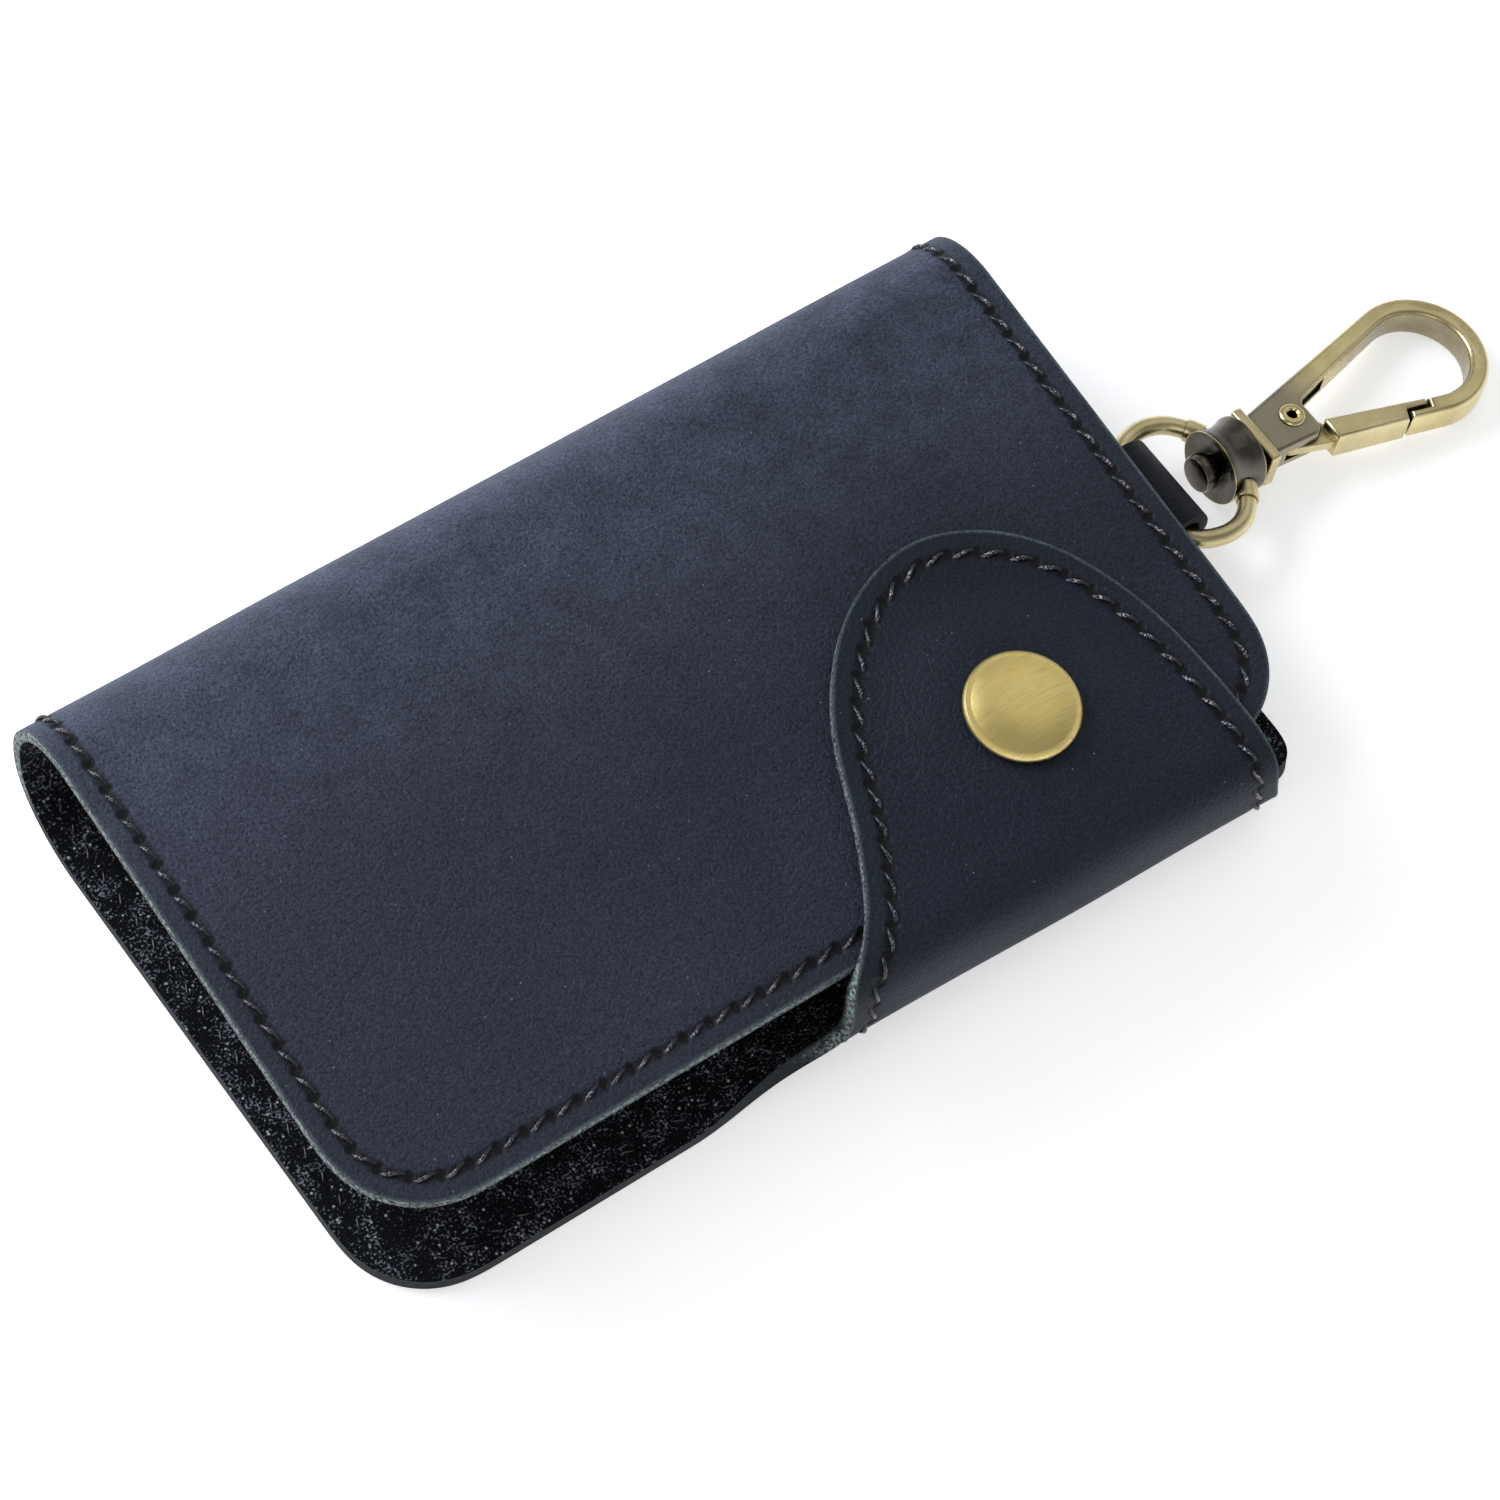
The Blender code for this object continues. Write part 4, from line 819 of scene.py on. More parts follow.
spine_top_bloom = (half_width - 0.0020, 0.0060, 0.60)
spine_foot_bloom = (half_width + 0.0165, 0.0060, 0.35)
# Painted sheen: a paler band down the cover's upper slope, as a lamp behind the spine would give
painted_slope_sheen = (0.0220, 0.0150, 0.58)


def cover_stretch_and_sheen(_, y):
    """How far the cover is pulled, most over the spine, with a painted sheen down its slope."""
    share = hump(y, *spine_top_bloom) + hump(y, *spine_foot_bloom)
    return min(1, share + hump(y, *painted_slope_sheen))


cover_stations = [cover_free_y + 0.0005 + 0.0025 * i for i in range(23)]
cover_stations += [bend_start - 0.0008 + 0.0007 * i for i in range(58)]
cover_edge = cover_outline(half_length, cover_free_y, spine_split)
cover_cut = (cover_edge, spine_split, cover_stations, cover_leather)
cover_blank = sheet(cover_place, 1, *cover_cut, cover_stretch_and_sheen)
cover_looks = (cover_grain, flesh_side, edge_side)
spine_and_cover = piece(
    "leather_spine_and_cover", cover_blank, cover_looks, ("front_cover",)
)
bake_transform(spine_and_cover)

# Lining: a thin split stitched inside the cover. It shows as a fine pale line under the
# cover's free edge and keeps the keys off the cover's flesh side.
lining_leather = 0.0006
lining_inset = 0.0004
lining_top = bend_start - back_corner


def lining_place(x, y):
    """Where a point of the lining lies, square under the cover."""
    slope = (cover_height(x, 0) - cover_height(x, -cover_reach)) / cover_reach
    return Vector((x, y, cover_height(x, y) - (cover_leather + hinge_gap) * math.hypot(1, slope)))


lining_edge = cover_outline(half_length - lining_inset, cover_free_y + lining_inset, lining_top)
thin_edge = cut_edge("thin split, edge left pale")
lining_looks = (flesh_side, flesh_side, thin_edge)
lining_stations = cover_stations[:18]
lining_cut = (lining_edge, lining_top, lining_stations, lining_leather)
lining_blank = sheet(lining_place, 1, *lining_cut, lambda x, y: 0, spread=0.005)
piece("thin_lining", lining_blank, lining_looks, ("cover_lining",), "cover")

# Seams: waxed black thread, 0.44 mm thick, sewn by machine through the whole edge. Each
# stitch is pulled into a short S and dives into the needle hole that it shares with the next.
thread_radius = 0.00022
thread_sides = 6
thread_rings = 7
stitch_start = 0.12
stitch_span = 0.76
stitch_drift = 0.00038
stitch_rise = 0.00052
stitch_fullness = 0.6
upper_sink = 0.00040
under_sink = 0.00066
# Where along each upper stitch the painted highlight lies, and how wide it is
painted_highlight_spot = (0.34, 0.19)


def waxed_thread():
    """Black thread, with a painted highlight in pale grey along the top of each stitch."""
    look, tree, place = new_look("polyester thread, bonded and waxed")
    ply = add(tree, "TexNoise", {"Vector": place, "Scale": 3400, "Detail": 2}).outputs[0]
    base = add(
        tree, "Mix", {0: ply, 6: linear("#08090d"), 7: linear("#1c1d25")}, data_type="RGBA"
    ).outputs[2]
    # Painted highlight: each upper stitch's top is painted pale grey, more so towards the hook end
    rubbed = add(tree, "SeparateXYZ", {0: place}).outputs[0]
    rubbed = add(tree, "MapRange", {0: rubbed, 1: 0.015, 2: 0.045, 3: 0.50, 4: 1.0}).outputs[0]
    painted_highlight = add(tree, "Attribute", attribute_name="painted_highlight").outputs["Fac"]
    rubbed = add(tree, "Math", {0: rubbed, 1: painted_highlight}, operation="MULTIPLY").outputs[0]
    turns = add(tree, "TexNoise", {"Vector": place, "Scale": 4400, "Detail": 1}).outputs[0]
    turns = add(tree, "MapRange", {0: turns, 1: 0.51, 2: 0.59}).outputs[0]
    rubbed = add(tree, "Math", {0: rubbed, 1: turns}, operation="MULTIPLY").outputs[0]
    base = add(tree, "Mix", {0: rubbed, 6: base, 7: linear("#cfc6d2")}, data_type="RGBA").outputs[2]
    bump = add(tree, "Bump", {"Strength": 0.5, "Distance": 0.00008, "Height": ply}).outputs[0]
    inputs = {
        "Base Color": base,
        "Roughness": 0.30,
        "Normal": bump,
        "Specular IOR Level": 0.60,
    }
    return dressed(look, inputs)


def sewn(name, outline, place, turn, drift, depth, look):
    """Both faces of one seam, as one mesh of short bent threads."""
    template = bmesh.new()
    rod = {"cap_ends": True, "segments": thread_sides, "radius1": 1, "radius2": 1, "depth": 1}
    bmesh.ops.create_cone(template, **rod)
    for ring in range(1, thread_rings):
        cut_across(template, (0, 0, ring / thread_rings - 0.5), (0, 0, 1), dist=1e-5)
    one = mesh_of(name + "_one", template)
    seam = measured(even(seam_line(outline), 4 * fine_gap))
    stitches = round(seam[1][-1] / stitch_pitch)
    pitch = seam[1][-1] / stitches
    bm = bmesh.new()
    painted_highlight = bm.verts.layers.float.new("painted_highlight")
    for number in range(2 * stitches):
        first, upper = number // 2, number % 2
        places = []
        for ring in range(thread_rings + 1):
            t = ring / thread_rings
            distance = (first + stitch_start + stitch_span * t) * pitch
            way = at(seam, distance + 2 * fine_gap) - at(seam, distance - 2 * fine_gap)
            way.normalize()
            inward = Vector((-way.y, way.x))
            spot = at(seam, distance) + inward * (-drift * stitch_drift * math.cos(math.pi * t))
            arch = stitch_rise * math.sin(math.pi * t) ** stitch_fullness
            rise = arch - (upper_sink if upper else under_sink)
            lift = rise if upper else -depth(spot.x, spot.y) - rise
            centre, out = outer_face(place, turn, spot.x, spot.y, lift)
            centre.z = max(centre.z, thread_radius)
            places.append((centre, out))
        low = len(bm.verts)
        bm.from_mesh(one)
        bm.verts.ensure_lookup_table()
        for vert in bm.verts[low:]:
            ring = round((vert.co.z + 0.5) * thread_rings)
            centre, out = places[ring]
            ahead = places[min(ring + 1, thread_rings)][0] - places[max(ring - 1, 0)][0]
            side = ahead.cross(out).normalized()
            up = side.cross(ahead).normalized()
            vert.co = centre + (side * vert.co.x + up * vert.co.y) * thread_radius
            # Each upper stitch carries the share of painted highlight that its material turns pale
            vert[painted_highlight] = hump(ring / thread_rings, *painted_highlight_spot) * upper
    bmesh.ops.recalc_face_normals(bm, faces=bm.faces)
    return piece(name, bm, (look,), (), sharp=70)


def cover_depth(_, y):
    """How thick the cover is at the seam, with the lining that it holds."""
    return cover_leather + (hinge_gap + lining_leather if y < lining_top else 0)


thread = waxed_thread()
back_seam = sewn(
    "seam_back_and_tab", back_edge, back_place, -1, -1, lambda x, y: back_leather, thread
)
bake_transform(back_seam)
cover_seam = sewn("seam_spine_and_cover", cover_edge, cover_place, 1, 1, cover_depth, thread)
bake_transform(cover_seam)

# Snap: a pressed brass cap over a socket in the tab, and a stud riveted through the cover.
# The cap is plated antique and brushed one way, so it has fine straight streaks. Its rolled
# rim is painted bright as rubbed wear and highlight, its rim's corner brown as patina, and its
# edge darker as painted shade where it meets the tab.
cap_radius = 0.00625
cap_rim = 0.0006
cap_height = 0.0017
post_radius = 0.0015
snap_wall = 0.0004
snap_fit = 0.0003
snap_probe = 0.0003


def brass(name, bright, mid, dark, rough, streaks=0.0, patina_and_shade=1.0, dull_before=None, painted_bow_shade=0.0):
    """Antique brass, painted pale on arrises (wear, highlight) and dark in corners (patina, shade).
    """
    look, tree, place = new_look(name)
    blotch = add(
        tree, "TexNoise", {"Vector": place, "Scale": 190, "Detail": 4, "Roughness": 0.6}
    ).outputs[0]
    blotch = add(tree, "MapRange", {0: blotch, 1: 0.30, 2: 0.70}).outputs[0]
    base = add(
        tree, "Mix", {0: blotch, 6: linear(mid), 7: linear(bright)}, data_type="RGBA"
    ).outputs[2]
    if dull_before:
        reach = add(tree, "SeparateXYZ", {0: place}).outputs[0]
        dull = add(
            tree, "MapRange", {0: reach, 1: dull_before + 0.004, 2: dull_before - 0.002, 4: 0.8}
        ).outputs[0]
        base = add(
            tree, "Mix", {0: dull, 6: base, 7: linear("#84817a")}, data_type="RGBA"
        ).outputs[2]
    if painted_bow_shade:
        # Painted shade: the faces that the hook itself shades, inside the bow, are painted grey
        inside = add(
            tree, "AmbientOcclusion", {"Distance": 0.014}, samples=16, only_local=True
        ).outputs["AO"]
        inside = add(tree, "MapRange", {0: inside, 1: 0.97, 2: 0.80, 4: painted_bow_shade}).outputs[0]
        base = add(
            tree, "Mix", {0: inside, 6: base, 7: linear("#6e6866")}, data_type="RGBA"
        ).outputs[2]
    # Patina in the hollows, and painted shade wherever other parts come within 1.2 mm
    hollow = add(tree, "AmbientOcclusion", {"Distance": 0.0012}, samples=16).outputs["AO"]
    hollow = add(tree, "MapRange", {0: hollow, 1: 0.92, 2: 0.45, 4: patina_and_shade}).outputs[0]
    base = add(tree, "Mix", {0: hollow, 6: base, 7: linear(dark)}, data_type="RGBA").outputs[2]
    # Painted highlight with real wear: each arris is painted pale, plating rubbed through and light
    # caught
    rounded = add(tree, "Bevel", {"Radius": 0.00022}, samples=12).outputs[0]
    true = add(tree, "NewGeometry").outputs["Normal"]
    arris = add(tree, "VectorMath", {0: rounded, 1: true}, operation="DOT_PRODUCT").outputs["Value"]
    arris = add(tree, "MapRange", {0: arris, 1: 0.99, 2: 0.88, 4: 0.95}).outputs[0]
    base = add(tree, "Mix", {0: arris, 6: base, 7: linear("#eee0a6")}, data_type="RGBA").outputs[2]
    if streaks:
        one_way = add(
            tree, "Mapping", {"Vector": place, "Rotation": (0, 0, 0.65), "Scale": (260, 9000, 900)}
        )
        brushed = add(
            tree, "TexNoise", {"Vector": one_way.outputs[0], "Scale": 1, "Detail": 3}
        ).outputs[0]
        line = add(tree, "MapRange", {0: brushed, 1: 0.52, 2: 0.72, 4: 0.35}).outputs[0]
        base = add(
            tree, "Mix", {0: line, 6: base, 7: linear("#8a7440")}, data_type="RGBA"
        ).outputs[2]
    else:
        brushed = add(tree, "TexNoise", {"Vector": place, "Scale": 1800, "Detail": 3}).outputs[0]
    uneven = add(
        tree, "MapRange", {0: brushed, 1: 0.25, 2: 0.75, 3: rough - 0.07, 4: rough + 0.10}
    ).outputs[0]
    bump = add(
        tree, "Bump", {"Strength": 0.08 + streaks, "Distance": 0.00005, "Height": brushed}
    ).outputs[0]
    inputs = {
        "Base Color": base,
        "Roughness": uneven,
        "Normal": bump,
        "Metallic": 1.0,
    }
    return dressed(look, inputs)


def above(base, *points):
    """Points of (radius, height) with their heights counted from this base."""
    return [(radius, base + height) for radius, height in points]


def turned(profile, steps=64):
    """A closed profile of (radius, height) points spun about Z."""
    bm = bmesh.new()
    points = [bm.verts.new((radius, 0, height)) for radius, height in profile]
    edges = [bm.edges.new(pair) for pair in zip(points, points[1:])]
    about = {"cent": (0, 0, 0), "axis": (0, 0, 1), "dvec": (0, 0, 0), "angle": math.tau}
    bmesh.ops.spin(bm, geom=points + edges, steps=steps, use_merge=True, **about)
    bmesh.ops.remove_doubles(bm, verts=bm.verts, dist=1e-6)
    bmesh.ops.recalc_face_normals(bm, faces=bm.faces)
    return bm


def placed(bm, matrix):
    bmesh.ops.transform(bm, matrix=matrix, verts=bm.verts)
    return bm


def only_verts(geom):
    return [item for item in geom if isinstance(item, bmesh.types.BMVert)]


def slab(outline, thickness, edge, steps=3):
    """A flat outline given its thickness about Z, with its arrises rounded over."""
    bm = bmesh.new()
    face = bm.faces.new([bm.verts.new((p[0], p[1], -thickness / 2)) for p in outline])
    grown = bmesh.ops.extrude_face_region(bm, geom=[face])["geom"]
    bmesh.ops.translate(bm, vec=(0, 0, thickness), verts=only_verts(grown))
    bmesh.ops.recalc_face_normals(bm, faces=bm.faces)
    level_edges = [e for e in bm.edges if abs(e.verts[0].co.z - e.verts[1].co.z) < 1e-7]
    round_over(bm, level_edges, edge, steps)
    return bm


def box(low, high, edge=0.0):
    """A block between two corners, with its arrises rounded over."""
    bm = bmesh.new()
    bmesh.ops.create_cube(bm, size=1)
    low, high = Vector(low), Vector(high)
    bmesh.ops.scale(bm, vec=high - low, verts=bm.verts)
    bmesh.ops.translate(bm, vec=(low + high) / 2, verts=bm.verts)
    if edge:
        round_over(bm, bm.edges[:], edge, clamp_overlap=False)
    return bm


def baked(obj, *others):
    """The object's mesh with its modifiers applied, once all of these have left the scene."""
    bpy.context.view_layer.update()
    out = bmesh.new()
    out.from_mesh(obj.evaluated_get(bpy.context.evaluated_depsgraph_get()).data)
    for spent in (obj, *others):
        bpy.data.objects.remove(spent)
    return out


def joined(bm, others, operation):
    """The body after each of the other shapes is cut from it or cast on to it."""
    made = [linked("blank", mesh_of("blank", shape)) for shape in (bm, *others)]
    for other in made[1:]:
        step = made[0].modifiers.new("step", "BOOLEAN")
        step.operation = operation
        step.solver = "EXACT"
        step.object = other
    return baked(*made)


cap_name = "brass cap, plated antique and brushed"
cap_brass = brass(cap_name, "#fae69c", "#eed684", "#33281a", 0.36, streaks=0.16, patina_and_shade=0.9)
cast_name = "cast brass, plated antique and rubbed back"
cast_brass = brass(cast_name, "#e4d6a8", "#c8ba8c", "#25211b", 0.29, patina_and_shade=0.7)
hook_name = "cast brass, plated antique, duller at the neck"
# The hook is duller at the neck and takes painted shade inside its bow
hook_wear_and_shade = {"patina_and_shade": 0.7, "dull_before": 0.0838, "painted_bow_shade": 0.85}
hook_brass = brass(hook_name, "#ecdda8", "#cdbe8c", "#25211b", 0.29, **hook_wear_and_shade)
dark_brass = brass("cast brass, plating left dark", "#7a746c", "#4c4741", "#0e0d0c", 0.25)
here = cover_height(snap_x, snap_y)
slope_x = (here - cover_height(snap_x + snap_probe, snap_y)) / snap_probe
slope_y = (here - cover_height(snap_x, snap_y + snap_probe)) / snap_probe
snap_turn = Vector((slope_x, slope_y, 1)).to_track_quat("Z", "X").to_matrix().to_4x4()
snap_seat = Matrix.Translation((snap_x, snap_y, here)) @ snap_turn

cap_seat = tab_gap + snap_rise + back_leather + snap_fit
dome_rise = cap_height - cap_rim
dome_shares = (0, 0.12, 0.24, 0.36, 0.48, 0.60, 0.70, 0.79, 0.86, 0.915)
dome = [(share, cap_rim + dome_rise * (1 - share**2.6)) for share in dome_shares]
rim = [(0.955, 0.00090), (0.985, 0.00070), (1, 0.00048), (1, 0.00026), (0.99, 0.00010), (0.965, 0)]
socket_top = tab_gap + snap_rise - snap_fit
cap_profile = [
    *above(cap_seat, *[(cap_radius * share, height) for share, height in dome + rim]),
    (post_radius, cap_seat),
    *above(socket_top - snap_wall, (post_radius, 0), (0, 0)),
]
cap = placed(turned(cap_profile, 96), snap_seat)
piece("domed_cap", cap, (cap_brass,), ("snap_cap",), "tab")

socket_outside = ((0.0018, 0), (0.0041, 0), (0.0045, -0.0001), (0.00475, -0.0004), (0.0046, -0.001))
socket_mouth = ((0.0042, -0.0013), (0.0031, -0.0013), (0.0028, -0.0010))
socket_inside = ((0.0028, -snap_wall), (0.0018, -snap_wall), (0.0018, 0))
socket_profile = above(socket_top, *socket_outside, *socket_mouth, *socket_inside)

stud_head = ((0, 0.0010), (0.0012, 0.0010), (0.0016, 0.0009), (0.0018, 0.0006), (0.0018, 0.0003))
stud_flange = ((0.0016, 0), (0.0037, 0), (0.0040, -0.0002), (0.0040, -snap_wall), (0, -snap_wall))
stud_profile = above(snap_fit + snap_wall, *stud_head, *stud_flange)

post_low = -(cover_leather + snap_fit + lining_leather + snap_fit)
post_disc = ((0.00425, 0), (0.00420, -0.0002), (0.00395, -snap_wall), (0, -snap_wall))
post_profile = [(0, -snap_fit), (post_radius, -snap_fit)]
post_profile += above(post_low, (post_radius, 0), *post_disc)

for name, profile, node, body in (
    ("spring_socket", socket_profile, "snap_socket", "tab"),
    ("riveted_stud", stud_profile, "snap_stud", "cover"),
    ("stud_back", post_profile, "snap_post", "cover"),
):
    piece(name, placed(turned(profile), snap_seat), (dark_brass,), (node,), body)

# Strap loop: a plain strip of smooth calf, 11.6 mm wide, folded round the eye's bar and
# stitched down inside the pouch. Its edges are rounded, and dyed like its face.
eye_wire = 0.0021
leather_gap = 0.0003
strap_width = 0.0116
strap_leather = 0.0013
strap_slack = 0.0006
strap_round = 0.00025
bar_x = half_length + 0.0042
bar_y = -0.0016
bar_height = 0.00688
strap_low_turn = -75
strap_high_turn = 100
strap_grip = half_length - 0.0050
strap_end = half_length - 0.0100
strap_low = back_leather + leather_gap + strap_leather / 2
strap_high = strap_low + strap_leather + leather_gap
strap_radius = eye_wire / 2 + strap_slack + strap_leather / 2


def strap_line():
    """The middle of the strap's thickness, in X and Z."""
    turn = corner_arc((bar_x, bar_height), strap_radius, strap_low_turn, strap_high_turn, 28)
    low_end, high_end = turn[0], turn[-1]
    rise, fall = math.radians(90 + strap_low_turn), math.radians(strap_high_turn - 90)
    low_corner = (low_end.x - (low_end.y - strap_low) / math.tan(rise), strap_low)
    high_corner = high_end - Vector((math.cos(fall), math.sin(fall))) * strap_radius
    lower = bend((strap_grip, strap_low), low_corner, low_end, 12)
    upper = bend(high_end, high_corner, (strap_grip, strap_high), 16)
    ends = [Vector((strap_end, height)) for height in (strap_low, strap_high)]
    return [ends[0], *lower, *turn[1:-1], *upper, ends[1]]


bm = bmesh.new()
line = [bm.verts.new((p.x, bar_y - strap_width / 2, p.y)) for p in strap_line()]
edges = [bm.edges.new(pair) for pair in zip(line, line[1:])]
grown = bmesh.ops.extrude_edge_only(bm, edges=edges)["geom"]
bmesh.ops.translate(bm, vec=(0, strap_width, 0), verts=only_verts(grown))
strip = linked("strap_strip", mesh_of("strap_strip", bm))
wall = strip.modifiers.new("thickness", "SOLIDIFY")
wall.thickness = strap_leather
wall.offset = 0
wall.use_even_offset = True
bm = baked(strip)
least_arris = 1.2
round_over(bm, [edge for edge in bm.edges if edge.calc_face_angle(0) > least_arris], strap_round)
calf = oiled_leather("calf, smooth, dyed black", "#14171d", "#1d2027", "#2b3037", seamed=False)
piece("strap_strip_round_bar", bm, (calf,), ("strap_loop",), "pouch")

# Swivel eye: a D of 2.1 mm brass wire, its far side cast into a saddle-shaped collar that
# the hook's stem turns in. The collar's plating is left dark, and its flared rims are painted
# pale as rubbed wear and highlight.
hook_tilt = math.radians(6.3)
eye_bar_half = 0.0059
eye_half_width = 0.0078
eye_depth = 0.0102
eye_outline_shares = ((0.34, 1.00), (0.70, 0.90), (0.97, 0.46), (1.00, 0.00))
collar_start = 0.0079
collar_length = 0.0043
collar_bore = 0.0015
collar_rim = 0.0043
waist_radius = 0.0039
waist_flare = 0.0006
stem_radius = 0.0012
bar_frame = Matrix.Translation((bar_x, bar_y, bar_height)) @ Matrix.Rotation(hook_tilt, 4, "Y")
lying = Matrix.Rotation(math.pi / 2, 4, "Y")


def tube(name, points, radius, closed=False, roundness=8):
    """A round wire along the points."""
    curve = bpy.data.curves.new(name, "CURVE")
    curve.dimensions = "3D"
    spline = curve.splines.new("POLY")
    spline.points.add(len(points) - 1)
    for point, spot in zip(spline.points, points):
        point.co = (*spot, 1)
    spline.use_cyclic_u = closed
    curve.bevel_depth = radius
    curve.bevel_resolution = roundness
    curve.use_fill_caps = True
    wire = linked(name, curve)
    bpy.context.view_layer.update()
    graph = bpy.context.evaluated_depsgraph_get()
    mesh = bpy.data.meshes.new_from_object(wire.evaluated_get(graph))
    bpy.data.objects.remove(wire)
    bm = bmesh.new()
    bm.from_mesh(mesh)
    bmesh.ops.remove_doubles(bm, verts=bm.verts, dist=1e-6)
    bmesh.ops.recalc_face_normals(bm, faces=bm.faces)
    return bm


side = [Vector((eye_depth * along, eye_half_width * out)) for along, out in eye_outline_shares]
half_ring = smooth_through([Vector((0, 0)), Vector((0, eye_bar_half)), *side], 12)
ring = [(p.x, p.y, 0) for p in half_ring] + [(p.x, -p.y, 0) for p in reversed(half_ring[1:-1])]
bm = tube("wire_ring", ring, eye_wire / 2, closed=True)
piece("wire_ring", placed(bm, bar_frame), (cast_brass,), ("swivel_eye",), "eye")

waist = []
for share in (0.08, 0.20, 0.35, 0.50, 0.65, 0.80, 0.92):
    radius = waist_radius + waist_flare * abs(2 * share - 1) ** 2.2
    waist.append((radius, collar_start + collar_length * share))
collar_end = collar_start + collar_length
near_face = ((collar_bore, 0.0004), (0.0031, 0.0002), (0.0036, 0), (collar_rim, 0))
far_face = ((collar_rim, 0), (0.0030, 0), (collar_bore, -0.0003))
collar_profile = [*above(collar_start, *near_face), *waist, *above(collar_end, *far_face)]
collar_profile.append(collar_profile[0])
collar = placed(turned(collar_profile), lying)
piece("saddle_collar", placed(collar, bar_frame), (dark_brass,), (), "eye")

# The wire thickens into a short knuckle where it runs into the collar on each side
knuckle_extra = 0.00025
knuckle_low = 0.0036
knuckle_high = 0.0056
knuckle = [p for p in half_ring if p.x > eye_depth / 2 and knuckle_low < p.y < knuckle_high]
for name, way in (("ring_knuckle_left", 1), ("ring_knuckle_right", -1)):
    spots = [(p.x, way * p.y, 0) for p in knuckle]
    bm = tube(name, spots, eye_wire / 2 + knuckle_extra)
    piece(name, placed(bm, bar_frame), (cast_brass,), (), "eye")

# Snap hook: one casting, with a beaked bow, a slotted head for the gate and a neck plate. Its
# stem goes through the collar and is headed over. The faces are rubbed to a dull olive gold,
# every arris is painted bright as rubbed wear and highlight, and the faces inside the bow are
# painted grey as the hook's own shade.
neck_start = collar_end + 0.0009
head_start = neck_start + 0.0011
head_frame = bar_frame @ Matrix.Translation((head_start, 0, 0))
hook_length = 0.0313
bow_radius = 0.0079
hook_wire = 0.0022
head_half = 0.0029
hook_thickness = 0.0038
tongue_end = 0.0073
tongue_drop = 0.0031
tongue_corner = 0.0014
arm_width = 0.0029
nose_break = 0.0004
latch_radius = 0.0137
latch_step = 0.0025
gate_x = 0.0050
gate_y = 0.0003
gate_back_gap = 0.0006
gate_tip_gap = 0.0003
bore_radius = 0.0012
bore_reach = 0.0030
hook_round = 0.0006
gate_round = 0.0004
bow_x = hook_length - bow_radius
inner_radius = bow_radius - hook_wire


def flare(x, half, radius):
    """The angle at which a straight side leaves this point to touch the bow's circle."""
    away = bow_x - x
    return math.asin(radius / math.hypot(away, half)) - math.atan(half / away)


def side_y(x, radius, angle):
    """How far out that side is at this point."""
    return radius / math.cos(angle) - (bow_x - x) * math.tan(angle)


outer_flare = flare(0, head_half, bow_radius)
arm_inside = side_y(tongue_end, bow_radius, outer_flare) - arm_width
inner_flare = flare(tongue_end, arm_inside, inner_radius)


def outer_y(x):
    return side_y(x, bow_radius, outer_flare)


def inner_y(x):
    return side_y(x, inner_radius, inner_flare)


def gate_outside(x):
    return -outer_y(x)


def gate_middle(x):
    return -(outer_y(x) + inner_y(x)) / 2


def gate_inside(x):
    return -inner_y(x)


def on_circle(radius, line_at, lift=0.0):
    """Where a line along the gate meets a circle about the gate's rivet, closed in on in steps."""
    x = gate_x + radius
    for _ in range(20):
        x = gate_x + math.sqrt(radius**2 - (line_at(x) + lift - gate_y) ** 2)
    return Vector((x, line_at(x) + lift))


outer_end = 90 + math.degrees(outer_flare)
inner_end = 90 + math.degrees(inner_flare)
lip = latch_radius
step_in = latch_radius + latch_step
crotch = tongue_end + gate_back_gap
tongue_centre = (tongue_end - tongue_corner, tongue_corner - tongue_drop)
hook_outline = [
    (nose_break, head_half),
    *corner_arc((bow_x, 0), bow_radius, outer_end, -outer_end, 64),
    on_circle(lip, gate_outside),
    on_circle(lip, gate_middle),
    on_circle(step_in, gate_middle),
    on_circle(step_in, gate_inside),
    *corner_arc((bow_x, 0), inner_radius, -inner_end, inner_end, 56),
    (crotch, inner_y(crotch)),
    (tongue_end, inner_y(crotch) - gate_back_gap),
    *corner_arc(tongue_centre, tongue_corner, 0, -90, 10),
    (nose_break, -head_half),
    (0, -head_half + nose_break),
    (0, head_half - nose_break),
]
half_slot = 0.0008
head_slot = box((0.0020, -bow_radius, -half_slot), (crotch, outer_y(gate_x) - 0.0013, half_slot))
spring_slot = box((0, -0.0009, -half_slot), (0.0048, 0.0009, 0.0014))
spring_seat = Matrix.Translation((tongue_end, inner_y(tongue_end), 0))
spring_seat = spring_seat @ Matrix.Rotation(inner_flare, 4, "Z")


def rivet_bore():
    """The hole for the gate's rivet."""
    wall = [(bore_radius, bore_reach), (bore_radius, -bore_reach)]
    bore = turned([(0, bore_reach), *wall, (0, -bore_reach)], 32)
    return placed(bore, Matrix.Translation((gate_x, gate_y, 0)))


hook_cuts = (head_slot, placed(spring_slot, spring_seat), rivet_bore())
casting = joined(slab(hook_outline, hook_thickness, hook_round, 4), hook_cuts, "DIFFERENCE")
placed(casting, head_frame)
piece("cast_hook", casting, (hook_brass,), ("snap_hook",), "hook", sharp=35)

plate = box((neck_start - head_start, -0.0038, -0.0025), (0.0003, 0.0038, 0.0025), 0.00035)
piece("neck_plate", placed(plate, head_frame), (cast_brass,), (), "hook")

